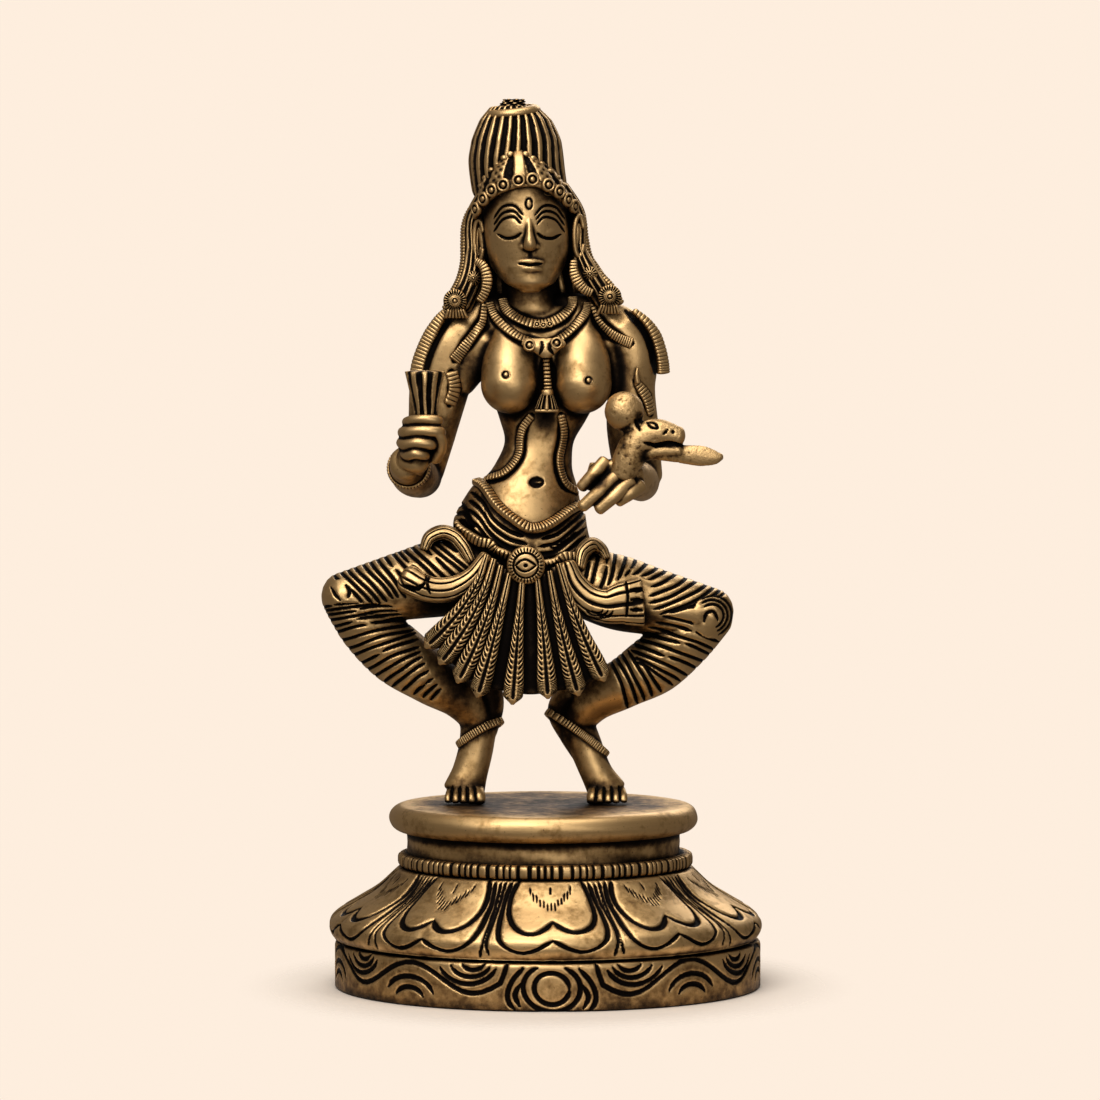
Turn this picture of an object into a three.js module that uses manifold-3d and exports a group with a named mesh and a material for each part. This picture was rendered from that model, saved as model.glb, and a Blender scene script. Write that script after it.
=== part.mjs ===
// A cast brass figure of a dancing goddess, knees bent wide, up on her toes on a lotus base.
// Millimetres, +Z up, the figure faces -Y, and the origin is at the middle of the base's underside.
// Two solids: the figure, cast in one with all that it wears and holds, and the base below it.
import * as THREE from "three";
import { mergeVertices } from "three/addons/utils/BufferGeometryUtils.js";
import Module from "manifold-3d";

const wasm = await Module();
wasm.setup();

// Driving dimensions
const figureHeight = 242.7; // from the top of the base to the knob on the hair
const figureOffset = 0.6; // the figure stands a little to its own right
const seatGap = 0.3; // and loose on the base

const baseHeight = 63;
const ovalShare = 0.86; // depth of the base as a share of its width
const bandRadius = 73.6;
const bandHeight = 16.4;
const bandGroove = 1.4;
const rimRadius = 74.8;
const rimHeight = 22;
const shoulderSpan = 17.5; // rise from the rim to the ring of ticks
const shoulderSwell = 2.4;
const petalCount = 10;
const petalRelief = 1.2;
const ringRadius = 50.8;
const ringHeight = 5;
const tickCount = 36;
const tickDepth = 0.8;
const neckRadius = 47.2;
const lipRadius = 53.4;
const lipThickness = 9;
const baseSides = 34;

const BACK = new THREE.Vector3(0, 1, 0);
const UP = new THREE.Vector3(0, 0, 1);

const brass = new THREE.MeshStandardMaterial({
  name: "antique_brass",
  color: 0x9c7a42,
  metalness: 1,
  roughness: 0.36,
});
const baseBrass = brass.clone();
baseBrass.name = "base_brass";
baseBrass.color.set(0xa98546);

// Solids

// A geometry as a manifold-3d solid with its faces pointing out.
function solidOf(geometry) {
  const bare = new THREE.BufferGeometry().setAttribute("position", geometry.getAttribute("position"));
  if (geometry.index) bare.setIndex(geometry.index);
  const merged = mergeVertices(bare, 1e-4);
  const triVerts = withoutSlivers(merged.index.array);
  const vertProperties = merged.getAttribute("position").array;
  const solid = new wasm.Manifold(new wasm.Mesh({ numProp: 3, vertProperties, triVerts }));
  if (solid.volume() > 0) return solid;
  for (let i = 0; i < triVerts.length; i += 3) {
    [triVerts[i + 1], triVerts[i + 2]] = [triVerts[i + 2], triVerts[i + 1]];
  }
  return new wasm.Manifold(new wasm.Mesh({ numProp: 3, vertProperties, triVerts }));
}

// Merging a pole or a seam leaves faces that have two corners in one place.
function withoutSlivers(index) {
  const kept = [];
  for (let i = 0; i < index.length; i += 3) {
    const [a, b, c] = [index[i], index[i + 1], index[i + 2]];
    if (a !== b && b !== c && c !== a) kept.push(a, b, c);
  }
  return new Uint32Array(kept);
}

function geometryOf(solid) {
  const mesh = solid.getMesh();
  const geometry = new THREE.BufferGeometry();
  geometry.setAttribute("position", new THREE.BufferAttribute(mesh.vertProperties.slice(), 3));
  geometry.setIndex(new THREE.BufferAttribute(mesh.triVerts.slice(), 1));
  geometry.computeVertexNormals();
  return geometry;
}

const joined = (geometries) => geometries.map(solidOf).reduce((whole, next) => whole.add(next));

// Shapes
// The figure is worked out in hundredths of its own height, up from the top of the base.

// A closed form through stations [x, y, z, half width, half depth]. Sections lie square to the
// path, or flat where the form is level. Each end is drawn out by `ends` of its girth, in as many
// rings as `caps` says. `flutes` ridges run along it, and the valleys are fluteDepth of the girth.
function limb(stations, options = {}) {
  const { sides = 8, rings = 5, ends = [0.5, 0.5], caps = 1 } = options;
  const { face = BACK, level = false, flutes = 0, fluteDepth = 0 } = options;
  const path = new THREE.CatmullRomCurve3(stations.map(([x, y, z]) => new THREE.Vector3(x, y, z)));
  const girth = new THREE.CatmullRomCurve3(stations.map(([, , , w, d]) => new THREE.Vector3(w, d, 0)));
  const columns = flutes ? flutes * 2 : sides;
  const rows = rings + caps * 2;
  const geometry = new THREE.SphereGeometry(1, columns, rows);
  const position = geometry.getAttribute("position");
  for (let i = 0; i < position.count; i++) {
    const height = THREE.MathUtils.clamp(position.getY(i), -1, 1);
    const row = Math.round((Math.acos(height) / Math.PI) * rows);
    const turn = Math.atan2(position.getZ(i), position.getX(i));
    const fromEnd = Math.min(row, rows - row);
    const t = THREE.MathUtils.clamp((row - caps) / rings, 0, 1);
    const tangent = level ? UP.clone() : path.getTangent(t);
    const across = tangent.clone().cross(face).normalize();
    const through = across.clone().cross(tangent);
    const size = girth.getPoint(t);
    const round = Math.min(fromEnd / caps, 1) * (Math.PI / 2);
    const valley = Math.round((turn / Math.PI) * flutes) % 2 ? 1 - fluteDepth : 1;
    const spread = Math.sin(round) * valley;
    const drawn = t < 0.5 ? -ends[0] : ends[1];
    const point = path
      .getPoint(t)
      .addScaledVector(across, Math.cos(turn) * size.x * spread)
      .addScaledVector(through, Math.sin(turn) * size.y * spread)
      .addScaledVector(tangent, Math.cos(round) * drawn * Math.min(size.x, size.y));
    position.setXYZ(i, point.x, point.y, point.z);
  }
  return geometry;
}

// A strap or cord with one section through its points.
function cord(points, width, depth, rings = points.length) {
  return limb(points.map((p) => [...p, width, depth]), { sides: 4, rings, ends: [0.3, 0.3] });
}

function ball([x, y, z], [rx, ry, rz], columns = 7, rows = 5) {
  return new THREE.SphereGeometry(1, columns, rows).scale(rx, ry, rz).translate(x, y, z);
}

function bead([x, y, z], [rx, ry, rz]) {
  return new THREE.IcosahedronGeometry(1, 0).scale(rx, ry, rz).translate(x, y, z);
}

// A round plate that faces the front.
function disc([x, y, z], radius, thickness, sides) {
  return new THREE.CylinderGeometry(radius * 0.85, radius, thickness, sides)
    .rotateX(Math.PI / 2)
    .translate(x, y, z);
}

// A plain band round a limb whose middle is at a place and whose length runs along an axis.
function bangle([x, y, z], axis, radius, length) {
  const turn = new THREE.Quaternion().setFromUnitVectors(BACK, new THREE.Vector3(...axis).normalize());
  return new THREE.CylinderGeometry(radius, radius, length, 8).applyQuaternion(turn).translate(x, y, z);
}

// Body

function torso() {
  const trunk = [
    [-1.8, 0.5, 25.5, 4.8, 3.8],
    [-1.7, 0.5, 29.0, 7.1, 6.0],
    [-2.0, 0.5, 33.0, 8.2, 7.2],
    [-3.1, 0.5, 36.8, 9.1, 7.4],
    [-3.7, 0.2, 40.1, 9.0, 7.0],
    [-2.9, 0.2, 44.6, 7.5, 5.8],
    [-1.9, 0.2, 47.8, 5.6, 4.9],
    [-1.0, 0.3, 51.2, 4.9, 4.5],
    [-0.4, 0.3, 54.7, 6.2, 4.9],
    [-0.1, 0.2, 58.8, 8.0, 5.6],
    [-0.3, 0.5, 63.8, 9.4, 5.8],
    [-0.8, 0.8, 66.5, 10.2, 5.0],
    [-0.8, 1.0, 68.8, 8.6, 4.0],
    [-1.5, 1.0, 70.6, 5.6, 3.2],
  ];
  const neck = [
    [-1.9, 0.6, 70.0, 4.3, 3.6],
    [-2.2, 0.2, 72.0, 3.3, 3.3],
    [-2.3, 0.0, 75.8, 3.2, 3.5],
  ];
  return [
    limb(trunk, { sides: 12, rings: 11, level: true, ends: [0.1, 0.1] }),
    limb(neck, { sides: 8, rings: 2, level: true }),
    ...[-5.0, 5.1].map(breast),
  ];
}

function breast(x) {
  const stations = [
    [x * 0.85, -1.5, 66.6, 2.4, 2.0],
    [x * 0.95, -3.2, 63.6, 3.6, 3.5],
    [x, -4.3, 60.8, 4.1, 4.5],
    [x, -4.0, 58.6, 3.7, 4.0],
  ];
  return limb(stations, { sides: 8, rings: 3, level: true, ends: [0.3, 0.7] });
}

function head() {
  const skull = [
    [-2.2, -5.2, 72.9, 1.4, 1.2],
    [-2.3, -3.9, 73.9, 3.4, 3.4],
    [-2.6, -1.7, 76.3, 5.2, 5.7],
    [-2.6, -1.1, 78.6, 5.9, 6.5],
    [-2.8, -0.8, 81.7, 6.1, 7.0],
    [-3.1, -0.3, 85.4, 5.9, 7.0],
    [-3.3, 0.6, 89.3, 4.3, 5.4],
  ];
  const nose = [
    [-2.4, -7.4, 82.6, 0.5, 0.5],
    [-2.1, -8.0, 80.2, 0.7, 0.8],
    [-1.9, -8.2, 78.8, 1.1, 1.0],
  ];
  return [
    limb(skull, { sides: 12, rings: 6, level: true, ends: [0.3, 0.3] }),
    limb(nose, { sides: 5, rings: 2, ends: [0.2, 0.4] }),
    bead([-1.8, -7.1, 76.5], [1.4, 0.9, 0.9]),
    ...[-1, 1].map((side) => bead([-2.3 + side * 2.9, -6.8, 81.4], [1.5, 0.9, 0.8])),
    ...[-9.0, 3.9].map((x) => ball([x, -0.8, 80.2], [1.0, 1.4, 2.8], 5, 4)),
  ];
}

// Hair in a tall fluted bun below a ring and knob, with tresses to the shoulders and down the back

function hair() {
  const bun = [
    [-3.2, 1.6, 84.0, 5.4, 4.8],
    [-3.7, 1.8, 87.0, 6.8, 6.2],
    [-4.2, 2.1, 91.0, 7.1, 6.6],
    [-4.2, 2.1, 94.0, 6.6, 6.2],
    [-4.3, 1.9, 97.0, 5.1, 4.8],
    [-4.5, 1.5, 98.7, 3.5, 3.1],
  ];
  const back = [
    [-3.0, 3.6, 86.0, 5.6, 3.6],
    [-2.8, 4.2, 80.0, 7.4, 3.4],
    [-2.4, 3.8, 72.0, 8.6, 2.8],
    [-1.6, 4.2, 65.5, 6.8, 2.2],
    [-1.0, 4.6, 57.0, 3.4, 1.4],
  ];
  const rightTress = [
    [-8.4, 0.8, 86.4, 1.4, 2.6],
    [-10.5, 1.0, 82.4, 1.3, 2.4],
    [-10.2, 0.4, 77.4, 1.5, 2.4],
    [-10.9, -0.8, 73.9, 1.9, 2.2],
    [-12.5, -1.6, 70.4, 1.9, 1.6],
  ];
  const leftTress = [
    [2.0, 0.8, 87.2, 1.4, 2.6],
    [4.5, 1.0, 83.2, 1.3, 2.4],
    [4.8, 0.4, 78.0, 1.5, 2.4],
    [6.6, -0.8, 74.6, 2.0, 2.2],
    [8.8, -1.6, 71.2, 1.9, 1.6],
  ];
  return [
    limb(bun, { flutes: 16, fluteDepth: 0.12, rings: 4, level: true, ends: [0.1, 0.1] }),
    bead([-4.5, 1.5, 98.8], [1.6, 1.6, 1.2]),
    limb(back, { flutes: 6, fluteDepth: 0.16, rings: 4, level: true }),
    limb(rightTress, { sides: 5, rings: 4 }),
    limb(leftTress, { sides: 5, rings: 4 }),
  ];
}

// The diadem: a band along the hairline, and a fluted cap that rises from it to a peak
function diadem() {
  const band = [
    [-9.4, -1.4, 84.4],
    [-7.7, -5.0, 86.7],
    [-3.8, -7.0, 88.0],
    [0.3, -6.4, 87.7],
    [3.4, -2.0, 85.6],
  ];
  const cap = [
    [-3.2, -0.8, 86.0, 6.5, 6.0],
    [-3.4, -0.8, 88.6, 5.6, 5.6],
    [-3.7, -0.9, 91.0, 3.0, 3.4],
    [-3.8, -1.4, 92.6, 0.6, 1.0],
  ];
  return [cord(band, 0.9, 1.2, 6), limb(cap, { flutes: 9, fluteDepth: 0.13, rings: 3, level: true })];
}

function earrings() {
  return [-9.0, 4.8].flatMap((x) => [
    disc([x, -2.4, 74.4], 2.1, 1.8, 7),
    bead([x, -3.3, 74.4], [1, 0.8, 1]),
  ]);
}

// A round flower on each shoulder, with a short fringe below it
function shoulderFlowers() {
  return [-12.3, 9.0].flatMap((x) => [
    disc([x, -2.8, 71.6], 1.7, 2.4, 7),
    limb([[x, -2.4, 70.9, 1.4, 1.2], [x * 1.05, -2.2, 69.4, 2.0, 1.2]], { sides: 4, rings: 1 }),
  ]);
}

// Arms

function rightArm() {
  const upper = [
    [-11.4, 0.6, 67.6, 4.2, 3.7],
    [-13.6, 0.6, 64.6, 4.7, 3.8],
    [-14.9, 0.6, 60.0, 4.3, 3.6],
    [-16.0, 0.2, 53.9, 3.6, 3.2],
    [-17.5, 0.6, 47.2, 3.0, 3.0],
  ];
  const fore = [
    [-17.8, 0.8, 46.4, 3.1, 3.0],
    [-18.6, -3.5, 46.9, 3.2, 3.1],
    [-19.6, -11.0, 48.9, 2.3, 2.4],
  ];
  const palm = [
    [-19.0, -12.0, 48.4, 2.6, 2.0],
    [-18.4, -12.4, 51.4, 2.7, 1.7],
    [-17.6, -12.4, 54.4, 2.6, 1.5],
  ];
  const knuckles = Array.from({ length: 7 }, (_, i) => {
    const girth = i % 2 ? 0.85 : 1.1;
    return [-17.5, -13.4, 50.4 + i * 0.8, 3.1 * girth, 1.4 * girth];
  });
  return [
    limb(upper, { sides: 7, rings: 4 }),
    limb(fore, { sides: 7, rings: 2, face: UP }),
    limb(palm, { sides: 6, rings: 2, ends: [0.7, 0.5] }),
    limb(knuckles, { sides: 5, rings: 6, level: true, ends: [0.3, 0.3] }),
    finger([-15.6, -12.4, 49.6], [-14.2, -13.4, 52.0], 0.9, 0),
    bangle([-15.4, 0.4, 57.8], [0.2, 0, 1], 4.0, 1.3),
    bangle([-19.6, -9.2, 48.6], [0.15, 1, -0.25], 3.2, 1.3),
  ];
}

// A finger, bowed towards the front between its root and its tip.
function finger(root, tip, radius, bow) {
  const middle = [(root[0] + tip[0]) / 2, (root[1] + tip[1]) / 2 - bow, (root[2] + tip[2]) / 2];
  const stations = [
    [...root, radius, radius],
    [...middle, radius, radius],
    [...tip, radius * 0.8, radius * 0.8],
  ];
  return limb(stations, { sides: 4, rings: 2, ends: [0.5, 0.8] });
}

function leftArm() {
  const upper = [
    [10.6, 0.6, 67.6, 4.3, 3.7],
    [12.4, 0.6, 64.4, 4.6, 3.8],
    [12.4, 0.6, 58.8, 3.9, 3.6],
    [12.3, 0.6, 53.4, 4.0, 3.4],
    [13.2, 1.0, 46.2, 3.4, 3.2],
  ];
  const fore = [
    [13.6, 0.8, 45.8, 2.6, 2.9],
    [12.8, -3.5, 46.2, 2.7, 2.8],
    [10.4, -11.2, 47.6, 1.9, 2.0],
  ];
  const fingers = [
    [[8.6, -12.0, 48.6], [5.6, -13.0, 45.8]],
    [[7.9, -12.8, 45.6], [5.3, -14.0, 42.9]],
    [[9.8, -13.0, 45.4], [7.8, -14.0, 42.8]],
    [[11.5, -12.5, 46.2], [10.6, -13.2, 44.3]],
  ];
  return [
    limb(upper, { sides: 7, rings: 4 }),
    limb(fore, { sides: 7, rings: 2, face: UP }),
    ball([9.8, -12.4, 46.9], [2.6, 1.6, 2.4]),
    ...fingers.map(([root, tip]) => finger(root, tip, 0.95, 0.3)),
    bangle([12.3, 0.6, 57.6], [0, 0, 1], 3.9, 1.3),
    bangle([11.2, -9.2, 47.2], [0.3, 1, -0.2], 2.8, 1.3),
  ];
}

// What the hands hold: a short flared sheaf, and a beaked animal with a ball behind its head

function sheaf() {
  const stations = [
    [-16.6, -13.4, 54.6, 2.0, 2.0],
    [-16.6, -13.4, 56.9, 2.0, 2.0],
    [-16.8, -13.4, 61.8, 2.7, 2.3],
  ];
  return [limb(stations, { flutes: 7, fluteDepth: 0.16, rings: 3, ends: [0.1, 0.1] })];
}

function animal() {
  const body = [
    [10.6, -12.5, 47.2, 2.0, 1.8],
    [11.7, -12.8, 49.4, 2.1, 1.9],
    [13.2, -12.8, 51.6, 1.9, 1.9],
    [15.6, -12.8, 53.0, 1.6, 1.8],
    [18.9, -13.3, 52.4, 0.9, 1.0],
  ];
  const blade = [
    [13.6, -12.6, 50.8, 1.1, 1.3],
    [18.6, -12.9, 50.2, 1.4, 1.1],
    [21.8, -13.2, 49.8, 1.3, 0.8],
    [24.3, -13.4, 49.8, 0.5, 0.5],
  ];
  return [
    limb(body, { sides: 6, rings: 5 }),
    limb(blade, { sides: 5, rings: 3 }),
    ball([10.9, -12.4, 56.1], [2.7, 2.2, 2.7]),
    limb([[11.6, -12.4, 54.8, 1.4, 1.4], [13.0, -12.5, 52.4, 1.5, 1.5]], { sides: 5, rings: 1 }),
  ];
}

// Legs, wrapped in cloth whose folds run round them

const foldsPerLimb = 4;
const foldDepth = 0.4;

// The folds take up the first part of the limb, as far as `cloth` says, and the rest is bare.
function foldedLimb(stations, cloth = 1) {
  const path = new THREE.CatmullRomCurve3(stations.map(([x, y, z]) => new THREE.Vector3(x, y, z)));
  const girth = new THREE.CatmullRomCurve3(stations.map(([, , , w, d]) => new THREE.Vector3(w, d, 0)));
  const steps = foldsPerLimb * 2;
  const bare = cloth < 1 ? [(1 + cloth) / 2, 1] : [];
  const places = [...Array.from({ length: steps + 1 }, (_, i) => (cloth * i) / steps), ...bare];
  const folded = places.map((place, i) => {
    const dip = i % 2 || i > steps ? foldDepth : 0;
    const size = girth.getPoint(place);
    return [...path.getPoint(place), size.x - dip, size.y - dip];
  });
  return limb(folded, { sides: 7, rings: places.length - 1, ends: [0.7, 0.5] });
}

function legs() {
  const right = {
    thigh: [
      [-8.0, -0.5, 33.0, 4.7, 5.8],
      [-13.9, -1.4, 32.6, 5.8, 6.1],
      [-19.4, -2.4, 31.5, 5.4, 5.6],
      [-29.6, -3.6, 29.6, 3.8, 4.2],
    ],
    calf: [
      [-28.7, -3.6, 29.2, 3.9, 4.1],
      [-25.2, -2.8, 25.5, 4.5, 4.2],
      [-21.2, -1.8, 21.9, 4.7, 4.1],
      [-16.2, -0.2, 17.9, 3.9, 3.5],
      [-9.4, 2.6, 13.6, 3.0, 2.9],
    ],
    foot: [
      [-8.3, 3.4, 13.2, 3.0, 2.8],
      [-9.2, 2.6, 8.6, 2.8, 2.6],
      [-10.7, 1.4, 4.6, 2.8, 2.2],
      [-11.6, 0.8, 1.6, 3.1, 2.0],
    ],
  };
  const left = {
    thigh: [
      [3.4, -0.5, 32.2, 4.7, 5.8],
      [9.9, -1.6, 30.4, 5.5, 6.1],
      [15.2, -2.6, 29.1, 5.0, 5.5],
      [24.3, -3.6, 27.2, 3.8, 4.2],
    ],
    calf: [
      [23.5, -3.6, 27.0, 3.8, 4.1],
      [19.8, -2.8, 23.5, 4.2, 4.2],
      [15.8, -1.8, 20.2, 4.2, 4.1],
      [11.0, -0.2, 17.1, 3.6, 3.5],
      [4.5, 2.6, 13.4, 2.9, 2.9],
    ],
    foot: [
      [2.4, 3.4, 13.2, 3.0, 2.8],
      [4.7, 2.6, 8.6, 2.8, 2.6],
      [6.8, 1.4, 4.2, 2.6, 2.2],
      [8.4, 0.8, 1.4, 2.9, 2.0],
    ],
  };
  return [right, left].flatMap(({ thigh, calf, foot }) => [
    foldedLimb(thigh),
    foldedLimb(calf, 0.7),
    ...footOf(foot),
  ]);
}

// A foot up on its toes: the arch, the anklet across it and a row of five toes on the ground.
function footOf(stations) {
  const [high, , low, ground] = stations.map((s) => new THREE.Vector3(...s));
  const anklet = high.clone().lerp(low, 0.35);
  const toes = Array.from({ length: 9 }, (_, i) => {
    const girth = i % 2 ? 0.8 : 1.1;
    const fromMiddle = (i - 4) / 4;
    return [ground.x + fromMiddle * 2.6, ground.y - 2.1 + Math.abs(fromMiddle) * 0.8, 0.5, girth, girth];
  });
  return [
    limb(stations, { sides: 7, rings: 3, ends: [0.7, 0.5] }),
    bangle(anklet.toArray(), high.sub(low).toArray(), 3.1, 1.1),
    limb(toes, { sides: 4, rings: 8, ends: [0.3, 0.3] }),
  ];
}

// Cloth at the hips: a roll over each thigh, two sashes with thick ends, and the fan of pleats

function hipCloth() {
  const rightRoll = [
    [-17.0, -5.8, 35.2],
    [-16.8, -3.8, 37.8],
    [-14.3, -2.4, 38.9],
    [-11.8, -5.0, 37.8],
    [-10.7, -6.4, 36.0],
  ];
  const leftRoll = [
    [5.3, -6.6, 33.7],
    [5.2, -5.6, 35.4],
    [6.8, -3.6, 36.6],
    [8.4, -3.6, 35.9],
    [9.0, -5.6, 34.2],
  ];
  const rightSash = [
    [-8.5, -7.2, 35.2, 1.4, 1.2],
    [-11.6, -7.6, 31.8, 1.7, 1.3],
    [-15.5, -7.8, 31.0, 1.7, 1.4],
    [-19.0, -7.0, 32.2, 2.1, 1.8],
  ];
  const leftSash = [
    [2.8, -7.2, 34.3, 1.4, 1.2],
    [4.8, -7.5, 30.4, 2.0, 1.3],
    [9.0, -7.9, 28.4, 2.1, 1.4],
    [13.2, -7.4, 29.4, 3.3, 1.4],
  ];
  return [
    cord(rightRoll, 1.2, 1.6, 4),
    cord(leftRoll, 1.2, 1.6, 4),
    limb(rightSash, { sides: 5, rings: 4 }),
    limb(leftSash, { sides: 5, rings: 4, ends: [0.4, 0.2] }),
  ];
}

// The apron is one thick cloth spread like a fan. Every other line down it is a valley between
// two pleats, and there the hem is shorter too.
function apron() {
  const pleats = 8;
  const valley = 0.9;
  const notch = 0.08;
  const hem = new THREE.CatmullRomCurve3([
    new THREE.Vector3(-17.6, -8.0, 23.2),
    new THREE.Vector3(-12.0, -9.0, 17.4),
    new THREE.Vector3(-4.4, -9.4, 15.0),
    new THREE.Vector3(3.4, -9.0, 16.0),
    new THREE.Vector3(8.8, -8.0, 18.8),
  ]);
  const waist = new THREE.CatmullRomCurve3([
    new THREE.Vector3(-7.8, -7.2, 35.6),
    new THREE.Vector3(-3.2, -8.0, 33.0),
    new THREE.Vector3(0.9, -7.2, 34.6),
  ]);
  const cloth = new THREE.BoxGeometry(1, 1, 1, pleats * 2, 1, 2);
  const position = cloth.getAttribute("position");
  for (let i = 0; i < position.count; i++) {
    const share = position.getX(i) + 0.5;
    const front = position.getY(i) < 0;
    const inValley = Math.round(share * pleats * 2) % 2 === 0;
    const down = 0.5 - position.getZ(i);
    const reach = down * (inValley ? 1 - notch : 1);
    const point = waist.getPoint(share).lerp(hem.getPoint(share), reach);
    const thickness = front ? -1.2 + (inValley ? valley * (0.4 + 0.6 * down) : 0) : 2 - 1.2 * down;
    position.setXYZ(i, point.x, point.y + thickness, point.z);
  }
  return [cloth];
}

// Jewellery that lies on the body

function necklaces() {
  const choker = [
    [-6.0, -1.2, 71.4],
    [-4.6, -4.0, 69.4],
    [-0.9, -5.0, 68.2],
    [2.7, -4.0, 69.8],
    [3.9, -1.2, 71.5],
  ];
  const collar = [
    [-8.0, -0.8, 70.9],
    [-6.3, -4.2, 68.2],
    [-2.5, -5.8, 65.8],
    [0.0, -6.2, 65.0],
    [2.4, -5.8, 66.2],
    [5.0, -4.2, 68.9],
    [6.0, -0.8, 71.0],
  ];
  const tassel = [
    [0.1, -5.5, 64.2, 0.7, 1.3],
    [0.2, -5.4, 59.4, 0.8, 1.3],
    [0.2, -5.5, 56.0, 1.8, 1.3],
  ];
  const rightStrap = [
    [-8.7, -2.6, 70.7],
    [-9.4, -4.2, 66.8],
    [-12.9, -3.6, 63.1],
  ];
  const leftStrap = [
    [6.2, -2.8, 70.4],
    [7.9, -4.4, 67.2],
    [11.2, -3.8, 65.4],
  ];
  return [
    cord(choker, 0.85, 1.0),
    cord(collar, 0.7, 1.0),
    bead([0.0, -6.2, 64.8], [1.9, 1.1, 1.9]),
    limb(tassel, { flutes: 4, fluteDepth: 0.2, rings: 3, ends: [0.1, 0.1] }),
    cord(rightStrap, 0.85, 1.0),
    cord(leftStrap, 0.8, 1.0),
  ];
}

function belts() {
  const upper = [
    [-9.8, -1.2, 45.4],
    [-7.2, -5.6, 42.5],
    [-4.8, -6.6, 40.5],
    [-1.7, -7.0, 39.1],
    [1.6, -6.4, 40.2],
    [4.8, -2.6, 42.4],
  ];
  const lower = [
    [-12.2, -3.2, 40.0],
    [-8.8, -6.8, 37.6],
    [-2.8, -8.0, 35.0],
    [3.0, -7.0, 35.3],
    [5.6, -4.8, 35.6],
  ];
  return [
    cord(upper, 0.6, 0.9),
    cord(lower, 0.8, 1.1),
    disc([-2.8, -8.4, 34.3], 2.8, 2.2, 9),
    bead([-2.8, -9.4, 34.3], [1.5, 0.8, 1.5]),
  ];
}

// The figure is one casting, cut flat where it stands.
function figure() {
  const forms = [
    torso(),
    head(),
    hair(),
    diadem(),
    earrings(),
    shoulderFlowers(),
    rightArm(),
    leftArm(),
    sheaf(),
    animal(),
    legs(),
    hipCloth(),
    apron(),
    necklaces(),
    belts(),
  ].flat();
  const ground = solidOf(new THREE.BoxGeometry(100, 100, 10).translate(0, 0, -5));
  const mesh = new THREE.Mesh(geometryOf(joined(forms).subtract(ground)), brass);
  mesh.name = "figure";
  mesh.scale.setScalar(figureHeight / 100);
  mesh.position.set(-figureOffset, 0, baseHeight + seatGap);
  return mesh;
}

// Base

const ringFoot = rimHeight + shoulderSpan;
const ringMiddle = ringRadius - ringHeight / 4;

// The line of the shoulder from the rim up to the ring, sunk by an amount all along.
function shoulderLine(sunk) {
  const middle = (rimRadius + ringRadius) / 2 + shoulderSwell - sunk;
  return new THREE.QuadraticBezierCurve(
    new THREE.Vector2(rimRadius - sunk, rimHeight),
    new THREE.Vector2(middle, rimHeight + shoulderSpan / 2 + shoulderSwell - sunk),
    new THREE.Vector2(ringRadius - sunk, ringFoot),
  );
}

// The turned form: a band, a rounded rim, the sloping shoulder, a waist and a lipped top.
function turnedForm() {
  const lipFoot = baseHeight - lipThickness;
  const lipRound = lipThickness / 2;
  const lip = new THREE.Path()
    .absarc(lipRadius - lipRound, lipFoot + lipRound, lipRound, -Math.PI / 2, Math.PI / 2, false)
    .getSpacedPoints(3);
  const profile = [
    new THREE.Vector2(0, 0),
    new THREE.Vector2(bandRadius, 0),
    new THREE.Vector2(bandRadius, bandHeight - bandGroove),
    new THREE.Vector2(bandRadius - bandGroove, bandHeight),
    new THREE.Vector2(rimRadius, bandHeight + bandGroove),
    new THREE.Vector2(rimRadius, rimHeight - petalRelief),
    ...shoulderLine(petalRelief).getPoints(2),
    new THREE.Vector2(neckRadius, ringFoot + ringHeight / 2),
    new THREE.Vector2(neckRadius, lipFoot),
    ...lip,
    new THREE.Vector2(0, baseHeight),
  ];
  return new THREE.LatheGeometry(profile, baseSides).rotateX(Math.PI / 2);
}

// The ring of ticks is a cog with as many teeth as ticks.
function tickedRing() {
  const ring = new THREE.CylinderGeometry(ringMiddle, ringRadius, ringHeight, tickCount * 2)
    .rotateX(Math.PI / 2)
    .translate(0, 0, ringFoot + ringHeight / 2);
  const position = ring.getAttribute("position");
  for (let i = 0; i < position.count; i++) {
    const [x, y] = [position.getX(i), position.getY(i)];
    const radius = Math.hypot(x, y);
    const tooth = Math.round((Math.atan2(y, x) / Math.PI) * tickCount) % 2;
    const share = radius && tooth ? (radius - tickDepth) / radius : 1;
    position.setXY(i, x * share, y * share);
  }
  return ring;
}

// A petal lies on the shoulder with its pointed tip down at the rim.
function petals() {
  const line = shoulderLine(0);
  const along = [
    { place: 0.98, width: 0.8 },
    { place: 0.6, width: 0.92 },
    { place: 0.28, width: 0.86 },
    { place: 0.08, width: 0.3 },
  ];
  return Array.from({ length: petalCount }, (_, i) => {
    const stations = along.map(({ place, width }) => {
      const { x: radius, y: height } = line.getPoint(place);
      return [0, -radius, height, (width * Math.PI * radius) / petalCount, petalRelief];
    });
    return limb(stations, { sides: 6, rings: 3, ends: [0.1, 0.8] }).rotateZ((2 * Math.PI * i) / petalCount);
  });
}

function lotusBase() {
  const solid = joined([turnedForm(), tickedRing(), ...petals()]);
  const mesh = new THREE.Mesh(geometryOf(solid).scale(1, ovalShare, 1), baseBrass);
  mesh.name = "lotus_base";
  return mesh;
}

const parvatiFigure = new THREE.Group();
parvatiFigure.add(figure(), lotusBase());

export default parvatiFigure;
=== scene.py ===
# %% [markdown]
# # A cast brass goddess on a lotus base
# The real thing is two brass castings. After casting, a chaser cuts the folds, the ticks and the petals
# with small punches, the hollows are darkened, and the high places are rubbed bright again. This lesson
# builds the same things in the same order: smooth wax-like forms first, then cut lines, then the finish.

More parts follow.
